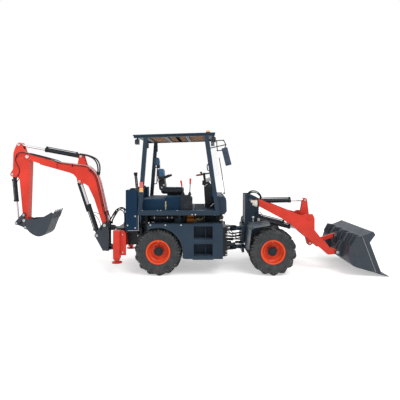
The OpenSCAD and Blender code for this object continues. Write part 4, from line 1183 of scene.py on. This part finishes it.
    def wiper(self):
        """A pantograph wiper in front of the curved screen."""
        arms = [pipe(waypoints((-200, y, 1690), (-215, y * 0.9, 1800), (-252, y * 0.5, 2050), (-270, y * 0.2, 2200)),
                     0.005) for y in (-150, -190)]
        blade = pipe(waypoints((-240, -60, 1960), (-262, -45, 2130), (-290, -30, 2300), (-318, -15, 2470)), 0.009)
        spindle = turned_piece([(-0.03, 0.016), (0.010, 0.016), (0.014, 0.012)], at(-204, -170, 1672),
                               (1.0, 0.0, 0.2), sides=20)
        fit(joined(arms + [blade, spindle]), "screen_wiper", "rear_frame", "Black moulding",
            smooth=60.0)

    def mirror(self):
        """The mirror's shell, and its glass towards the driver."""
        place = pitched(at(-195, -790, 2468), -14)
        shell = placed(block((-0.062, -0.024, -0.187), (0.062, 0.024, 0.187), 0.018, 4), place)
        fit(shell, "mirror_shell", "rear_frame", "Mirror shell")
        glass = placed(block((-0.050, 0.020, -0.172), (0.050, 0.0265, 0.172), 0.003, 2), place)
        fit(glass, "mirror_glass", "rear_frame", "Rod chrome")


class BACKHOE_OT_seat(bpy.types.Operator):
    """Stuffed seat with sewn channels, on its folded boot"""

    bl_idname = "backhoe.seat"
    bl_label = "Seat"

    SEAM = 0.145
    BOOT_FOLDS, FOLD_RISE, FOLD_PINCH = 10, 0.0075, 0.92

    def execute(self, context):
        lean = Vector((-0.124, 0.0, 0.992))
        ahead = Vector((0.992, 0.0, 0.124))
        left = Vector((0.0, 1.0, 0.0))
        flat = stood(at(-1377, 0, 1727), -left, (1.0, 0.0, 0.0), (0.0, 0.0, 1.0))
        cushion = self.pad("seat_cushion", (0.216, 0.262, 0.052), flat, (-0.10, 0.03, 0.15), 0.022,
                           lambda p, n: n.z > 0.35 and abs(p.x) < self.SEAM)
        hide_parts("seat")
        self.pad("seat_back", (0.216, 0.262, 0.050), stood(at(-1624, 0, 1974), left, lean, ahead),
                 (-0.11, 0.03, 0.15), 0.022, lambda p, n: n.z > -0.2 and p.y > 0.07)
        self.pad("seat_headrest", (0.116, 0.088, 0.046), stood(at(-1731, 0, 2382), left, lean, ahead), (), 0.016,
                 lambda p, n: n.z > -0.45 and p.z > -0.012)
        self.frame_parts()
        return {"FINISHED"}

    def pad(self, name, half, place, channels, cap, insert):
        """A padded part, made facing +Z at the origin, swollen, sewn, then set in its place."""
        half = Vector(half)
        made = stuffed(block(-half, half, 0.028, 3), 0.008, cap)
        if channels:
            sewn(made, lambda p: abs(p.x) - self.SEAM if p.z > 0.0 else 1.0)
        for along in channels:
            sewn(made, lambda p: p.y - along if p.z > 0.0 and abs(p.x) < self.SEAM else 1.0)
        fit(placed(made, place), name, "rear_frame", "Seat vinyl", smooth=60.0)
        made.data.materials.append(bpy.data.materials["Seat insert"])
        back = place.inverted()
        turn = back.to_3x3()
        for face in made.data.polygons:
            face.material_index = int(insert(back @ face.center, turn @ face.normal))
        return made

    def frame_parts(self):
        """Armrests, headrest pins, the folded boot and bright hinge bolts."""
        arms = []
        for _, sign in SIDES:
            arm = block((-0.150, -0.029, -0.026), (0.150, 0.029, 0.026), 0.018, 4)
            arms.append(placed(arm, pitched(at(-1560, sign * 268, 2015), -24)))
        fit(joined(arms), "seat_armrests", "rear_frame", "Black moulding")
        pins = [turned_piece([(0.0, 0.009), (0.080, 0.009)], at(-1700, y, 2236), (-0.124, 0.0, 0.992), sides=12)
                for y in (-70, 70)]
        fit(joined(pins), "headrest_pins", "rear_frame", "Frame black paint")
        collar = block(at(-1738, -95, 2226), at(-1674, 95, 2306), 0.016, 3)
        fit(collar, "headrest_collar", "rear_frame", "Black moulding")
        fit(self.boot(at(-1330, 0, 1629)), "seat_boot", "rear_frame", "Hose rubber")
        spots = [(at(x, sign * y, z), (0.0, sign, 0.0)) for _, sign in SIDES
                 for x, y, z in ((-1668, 296, 1968), (-1600, 238, 1800), (-1556, 238, 1856))]
        bolts("seat_hinge_bolts", "rear_frame", spots, 0.011)

    def boot(self, foot):
        """A square boot drawn up from its foot, pinched in and let out fold by fold."""
        pick_none()
        bpy.ops.mesh.primitive_plane_add(size=1.0, location=foot)
        made = bpy.context.object
        made.scale = (0.34, 0.32, 1.0)
        settle(made)
        edit_all(made)
        for i in range(self.BOOT_FOLDS):
            bpy.ops.mesh.extrude_region_move(TRANSFORM_OT_translate={"value": (0.0, 0.0, self.FOLD_RISE)})
            grow = self.FOLD_PINCH if i % 2 == 0 else 1.0 / self.FOLD_PINCH
            bpy.ops.transform.resize(value=(grow, grow, 1.0), center_override=foot)
        bpy.ops.mesh.select_all(action="SELECT")
        bpy.ops.mesh.normals_make_consistent(inside=False)
        edit_done()
        return made


class BACKHOE_OT_body_trim(bpy.types.Operator):
    """Bolts, latches, seals, tank aprons, step treads, mounts, flanges and fender lips of the body"""

    bl_idname = "backhoe.body_trim"
    bl_label = "Body trim"

    def execute(self, context):
        self.body_bolts()
        self.hood_latches()
        self.tank_aprons()
        self.step_treads()
        self.cab_mounts()
        self.frame_flanges()
        self.fender_lips()
        return {"FINISHED"}

    def body_bolts(self):
        """Bolts of the deck, the side boxes, the frames and the stabilizer housings."""
        up = (0.0, 0.0, 1.0)
        deck, skin, frames = [], [], []
        for _, sign in SIDES:
            out = (0.0, sign, 0.0)
            deck += [(at(x, sign * 800, 1347), up) for x in (-1941, -1623, -1557, -1214)]
            deck += [(at(x, sign * 815, 1268), out) for x in (-906, -838)]
            skin += [(at(x, sign * 878, 1062), out) for x in (-1758, -1451, -1131)]
            frames += [(at(-184, sign * 500, z), out) for z in (810, 746, 438, 374)]
            frames += [(at(x, sign * 812, z), out) for x, z in ((-2240, 1044), (-2082, 1234), (-2082, 992))]
            frames += [(at(-2090, sign * 460, 771), out)]
        bolts("deck_bolts", "rear_frame", deck, 0.010, 0.014)
        bolts("fender_bolts", "rear_frame", skin, 0.010, 0.005)
        bolts("frame_bolts", "rear_frame", frames, 0.010)
        plate = [(at(-2360, sign * 735, z), (0.0, sign, 0.0)) for _, sign in SIDES for z in (840, 470)]
        bolts("stabilizer_bolts", "rear_frame", plate, 0.010)

    def hood_latches(self):
        """A rubber seal over the hood's joint, and a strap latch on each side."""
        section = ((651, 1350), (651, 1450), (650, 1530), (632, 1572), (590, 1577))
        seals = [tube(smooth_route([at(-1467, sign * y, z) for y, z in section], 6), 0.004) for _, sign in SIDES]
        straps = []
        for _, sign in SIDES:
            straps.append(side_block(sign, (-1480, 648, 1352), (-1458, 660, 1530)))
            straps.append(side_block(sign, (-1488, 648, 1420), (-1450, 668, 1448), 0.005))
        fit(joined(seals), "hood_seal", "rear_frame", "Hose rubber", smooth=60.0)
        fit(joined(straps), "hood_latches", "rear_frame", "Latch yellow")

    def tank_aprons(self):
        """A plate with a bright edge between each tank and the deck, and the tanks' caps and latches."""
        plates, edges, caps = [], [], []
        for _, sign in SIDES:
            plates.append(side_block(sign, (-2060, 797, 936), (-2012, 810, 1262), 0.003))
            edges.append(tube(waypoints((-2014, 810, 1258), (-2014, 810, 1100), (-2014, 810, 940),
                                        (-2090, 810, 938), (-2236, 810, 938), side=sign), 0.0045))
            caps.append(turned_piece([(0.0, 0.062), (0.026, 0.060), (0.030, 0.054), (0.030, 0.030), (0.036, 0.026)],
                                     at(-2160.5, sign * 656, 1776), sides=30))
            caps.append(turned_piece([(-0.002, 0.016), (0.006, 0.016), (0.009, 0.010)], at(-2170, sign * 812, 1706),
                                     (0.0, sign, 0.0), sides=16))
        fit(joined(plates), "tank_aprons", "rear_frame", "Panel grey paint")
        fit(joined(edges), "tank_apron_edges", "rear_frame", "Zinc plate", smooth=60.0)
        fit(joined(caps), "tank_caps", "rear_frame", "Frame black paint")

    def step_treads(self):
        """Barred treads in the step pockets, and a web that stiffens each pocket."""
        bar = block((-0.190, -0.005, 0.0), (0.190, 0.005, 0.010), 0.002, 1)
        places = [Matrix.Translation(at(-677, sign * (650 + 26 * i), z)) for _, sign in SIDES for z in (766, 422)
                  for i in range(8)]
        fit(repeat(bar, places), "step_treads", "rear_frame", "Panel grey paint")
        webs = [side_block(sign, (-634, 618, low), (-625, 846, high), 0.002)
                for _, sign in SIDES for low, high in ((764, 1036), (420, 675))]
        fit(joined(webs), "step_webs", "rear_frame", "Panel grey paint")

    def frame_flanges(self):
        """A flange on each edge of the rear frame's front plate, and a lifting eye bolt on each side of the tower."""
        flanges = [side_block(sign, (-207, 452, 342), (-160, 500, 952)) for _, sign in SIDES]
        fit(joined(flanges), "pivot_plate_flanges", "rear_frame", "Frame black paint")
        eyes = []
        head = [(-0.001, 0.030), (0.010, 0.030), (0.014, 0.024), (0.020, 0.010)]
        for _, sign in SIDES:
            eyes.append(turned_piece(head, at(425, sign * 255, 1135), (0.0, sign, 0.0), sides=24))
            eyes.append(side_block(sign, (413, 254, 1032), (437, 263, 1130), 0.003))
        fit(joined(eyes), "tower_eye_bolts", "front_frame", "Zinc plate")

    # Fender in side view, and the depth of its turned-down lip there
    FENDER = ((690, 1110, 56), (318, 1050, 74), (264, 1005, 74), (212, 560, 40))

    def fender_lips(self):
        """The turned-down outer edge of each front fender, dusty from the wheel."""
        lips = []
        for _, sign in SIDES:
            for (x0, z0, d0), (x1, z1, d1) in zip(self.FENDER, self.FENDER[1:]):
                along = Vector((x1 - x0, 0.0, z1 - z0)) * MM
                inward, way = Vector((-along.z, 0.0, along.x)).normalized(), along.normalized()
                lip = block((0.0, -0.004, -0.008), (along.length, 0.004, (d0 + d1) / 2 * MM), 0.003)
                lips.append(placed(lip, stood(at(x0, sign * 855, z0), way, inward.cross(way), inward)))
        fit(joined(lips), "fender_lips", "front_frame", "Dusty lip paint")

    def cab_mounts(self):
        """Rubber mounts under the dash and the deck."""
        rubbers, plates = [], []
        lower = [(0.0, 0.030), (0.030, 0.026), (0.036, 0.040), (0.046, 0.042), (0.056, 0.036)]
        upper = [(0.086, 0.036), (0.100, 0.052), (0.122, 0.058), (0.146, 0.052), (0.160, 0.036), (0.189, 0.032)]
        steel = [(0.055, 0.026), (0.057, 0.044), (0.066, 0.044), (0.067, 0.022), (0.080, 0.022), (0.081, 0.040),
                 (0.087, 0.040)]
        for _, sign in SIDES:
            place = at(-306, sign * 690, 1074)
            rubbers += [turned_piece(lower, place, sides=24), turned_piece(upper, place, sides=28)]
            plates.append(turned_piece(steel, place, sides=28))
        fit(joined(rubbers), "cab_mount_rubbers", "rear_frame", "Hose rubber")
        fit(joined(plates), "cab_mount_plates", "rear_frame", "Zinc plate")


class BACKHOE_OT_engine_bay(bpy.types.Operator):
    """Filters, duct, shield and pipes that show between the deck and the side boxes"""

    bl_idname = "backhoe.engine_bay"
    bl_label = "Engine bay"

    def execute(self, context):
        shield = block(at(-1995, 236, 962), at(-430, 250, 1254), 0.004)
        bar = block((-0.010, 0.0, -0.115), (0.010, 0.012, 0.115), 0.004)
        ribs = repeat(bar, [Matrix.Translation(at(-1740 + 130 * i, 249, 1127)) for i in range(11)])
        fit(joined([shield, ribs]), "engine_shield", "rear_frame", "Black moulding")
        self.filters()
        self.intake()
        box = block(at(-1286, -566, 1060), at(-1150, -440, 1236), 0.010, 3)
        fit(box, "battery_box", "rear_frame", "Panel grey paint")
        return {"FINISHED"}

    def filters(self):
        """Two spin-on filters on a bracket, and bent fuel pipes beside them."""
        can = [(0.0, 0.030), (0.004, 0.042), (0.014, 0.046), (0.140, 0.046), (0.152, 0.040), (0.156, 0.024)]
        cans = [turned_piece(can, at(-1030, -440, z), (1.0, 0.0, 0.0), sides=28) for z in (1108, 1206)]
        fit(joined(cans), "engine_filters", "rear_frame", "Filter orange paint")
        bracket = block(at(-1046, -470, 1050), at(-1022, -220, 1240), 0.006)
        fit(bracket, "filter_bracket", "rear_frame", "Frame black paint")
        pipes = [pipe(waypoints((-866 + d, y, 1066), (-850 + d, y, 1112), (-806 + d, y, 1136), (-768 + d, y, 1102),
                                (-740 + d, y, 1120), (-706 + d, y + 60, 1150), (-690 + d, -224, 1150)), 0.010)
                 for d, y in ((0, -446), (34, -412))]
        fit(joined(pipes), "fuel_pipes", "rear_frame", "Latch yellow", smooth=60.0)

    def intake(self):
        """Bands round the air cleaner, and the duct from it to the engine."""
        duct = pipe(waypoints((-1360, -600, 1185), (-1310, -596, 1188), (-1240, -540, 1200), (-1180, -420, 1206),
                              (-1150, -300, 1200), (-1140, -222, 1190)), 0.036, 4)
        fit(duct, "intake_duct", "rear_frame", "Hose rubber", smooth=60.0)
        bands = [turned_piece([(0.0, 0.0565), (0.002, 0.0590), (0.016, 0.0590), (0.018, 0.0565)], at(x, -600, 1185),
                              (1.0, 0.0, 0.0), sides=40) for x in (-1716, -1440)]
        bands.append(turned_piece([(0.0, 0.036), (0.002, 0.0395), (0.016, 0.0395), (0.018, 0.036)],
                                  at(-1350, -600, 1185), (1.0, 0.0, 0.0), sides=32))
        fit(joined(bands), "air_cleaner_bands", "rear_frame", "Zinc plate")


class BACKHOE_OT_bucket_trim(bpy.types.Operator):
    """Weld beads, edge bolts and tooth caps of both buckets"""

    bl_idname = "backhoe.bucket_trim"
    bl_label = "Bucket trim"

    def execute(self, context):
        beads = [pipe(waypoints((2583, 877, 830), (2680, 877, 574), (2780, 877, 311), (2866, 877, 84), side=sign),
                      0.0048) for _, sign in SIDES]
        fit(joined(beads), "bucket_side_beads", "loader_bucket", "Zinc plate", smooth=60.0)
        normal = Vector((0.287, 0.0, 0.958))
        bolts("cutting_edge_bolts", "loader_bucket", [(at(2936, y, 79), normal) for y in range(-800, 801, 160)], 0.016)
        self.digger_bucket()
        return {"FINISHED"}

    def digger_bucket(self):
        """A rounded cap over the root of each tooth."""
        caps = []
        for i in range(-2, 3):
            cap = block((-0.016, -0.027, -0.055), (0.016, 0.027, 0.055), 0.008, 3)
            caps.append(placed(cap, pitched(at(-4040, i * 110, 1150), 21)))
        fit(joined(caps), "tooth_adapters", "hoe_bucket", "Bucket coal steel")


class BACKHOE_OT_stage(bpy.types.Operator):
    """Pale floor, soft studio light and the camera"""

    bl_idname = "backhoe.stage"
    bl_label = "Stage"

    FLOOR_SIZE = 240.0
    FLOOR_GLOW = 0.42
    WORLD_LIGHT = 0.72
    SENSOR_MM = 36.0
    FAR_CLIP = 500.0
    # Name, place, size and power of each lamp, and the point they face
    LAMPS = (("key", (6.0, -9.0, 11.0), 7.0, 900.0), ("fill", (-9.0, -7.0, 6.0), 6.0, 250.0))
    LIT_POINT = (0.0, 0.0, 1.0)

    def execute(self, context):
        scene = context.scene
        sizes = sizes_of(context)
        scene.view_settings.view_transform = "Standard"
        bpy.ops.object.select_all(action="DESELECT")
        bpy.ops.mesh.primitive_plane_add(size=self.FLOOR_SIZE, location=(0.0, 0.0, 0.0))
        floor = context.object
        floor.name = "studio_floor"
        made, tree, shader = start_material("Studio floor")
        shader.inputs["Base Color"].default_value = rgba(paint_of(context).floor)
        shader.inputs["Roughness"].default_value = 0.9
        shader.inputs["Specular IOR Level"].default_value = 0.0
        shader.inputs["Emission Color"].default_value = (1.0, 1.0, 1.0, 1.0)
        tree.links.new(maths(tree, "MULTIPLY", self.seen(tree), self.FLOOR_GLOW), shader.inputs["Emission Strength"])
        floor.data.materials.append(made)
        self.light_world(scene)
        self.add_lamps(context)
        data = bpy.data.cameras.new("photo_camera")
        camera = bpy.data.objects.new("photo_camera", data)
        scene.collection.objects.link(camera)
        camera.location = (sizes.camera_x, -sizes.camera_far, sizes.camera_z)
        camera.rotation_euler = (math.radians(90.0), 0.0, 0.0)
        data.sensor_width = self.SENSOR_MM
        data.lens = sizes.lens_mm
        data.shift_x = sizes.shift_x
        data.shift_y = sizes.shift_y
        data.clip_end = self.FAR_CLIP
        scene.camera = camera
        return {"FINISHED"}

    def seen(self, tree):
        """1 for rays that show the background: straight, in a reflection or through glass."""
        rays = add(tree, "ShaderNodeLightPath")
        shown = maths(tree, "MAXIMUM", rays.outputs["Is Camera Ray"], rays.outputs["Is Glossy Ray"])
        return maths(tree, "MAXIMUM", shown, rays.outputs["Is Transmission Ray"])

    def light_world(self, scene):
        """White to the camera, in reflections and through glass; a plain level on the object."""
        world = bpy.data.worlds.new("Studio world")
        scene.world = world
        world.use_nodes = True
        tree = world.node_tree
        shine = tree.nodes["Background"]
        shine.inputs["Color"].default_value = (1.0, 1.0, 1.0, 1.0)
        tree.links.new(ranged(tree, self.seen(tree), 0.0, 1.0, self.WORLD_LIGHT, 1.0), shine.inputs["Strength"])

    def add_lamps(self, context):
        """A large soft key over the camera's right shoulder and a weaker fill."""
        for name, place, size, power in self.LAMPS:
            data = bpy.data.lights.new(name, "AREA")
            data.size = size
            data.energy = power
            lamp = bpy.data.objects.new(name, data)
            context.scene.collection.objects.link(lamp)
            lamp.visible_camera = False
            lamp.location = place
            lamp.rotation_euler = (Vector(self.LIT_POINT) - Vector(place)).to_track_quat("-Z", "Y").to_euler()


class BACKHOE_PT_panel(bpy.types.Panel):
    """Lists the dressing steps in the sidebar"""

    bl_idname = "BACKHOE_PT_panel"
    bl_label = "Backhoe loader"
    bl_space_type = "VIEW_3D"
    bl_region_type = "UI"
    bl_category = "Backhoe"

    def draw(self, context):
        for operator in STEPS:
            self.layout.operator(operator.bl_idname)


STEPS = (
    BACKHOE_OT_paintwork,
    BACKHOE_OT_wheel_trim,
    BACKHOE_OT_pin_heads,
    BACKHOE_OT_hoses,
    BACKHOE_OT_lamps,
    BACKHOE_OT_cab_fittings,
    BACKHOE_OT_seat,
    BACKHOE_OT_body_trim,
    BACKHOE_OT_engine_bay,
    BACKHOE_OT_bucket_trim,
    BACKHOE_OT_stage,
)
CLASSES = (BackhoePaint, BackhoeSizes, *STEPS, BACKHOE_PT_panel)


def register():
    for entry in CLASSES:
        bpy.utils.register_class(entry)
    bpy.types.Scene.backhoe_paint = bpy.props.PointerProperty(type=BackhoePaint)
    bpy.types.Scene.backhoe_sizes = bpy.props.PointerProperty(type=BackhoeSizes)


def unregister():
    del bpy.types.Scene.backhoe_sizes
    del bpy.types.Scene.backhoe_paint
    for entry in reversed(CLASSES):
        bpy.utils.unregister_class(entry)


def main():
    register()
    bpy.ops.backhoe.paintwork()
    bpy.ops.backhoe.wheel_trim()
    bpy.ops.backhoe.pin_heads()
    bpy.ops.backhoe.hoses()
    bpy.ops.backhoe.lamps()
    bpy.ops.backhoe.cab_fittings()
    bpy.ops.backhoe.seat()
    bpy.ops.backhoe.body_trim()
    bpy.ops.backhoe.engine_bay()
    bpy.ops.backhoe.bucket_trim()
    bpy.ops.backhoe.stage()


if __name__ == "__main__":
    main()
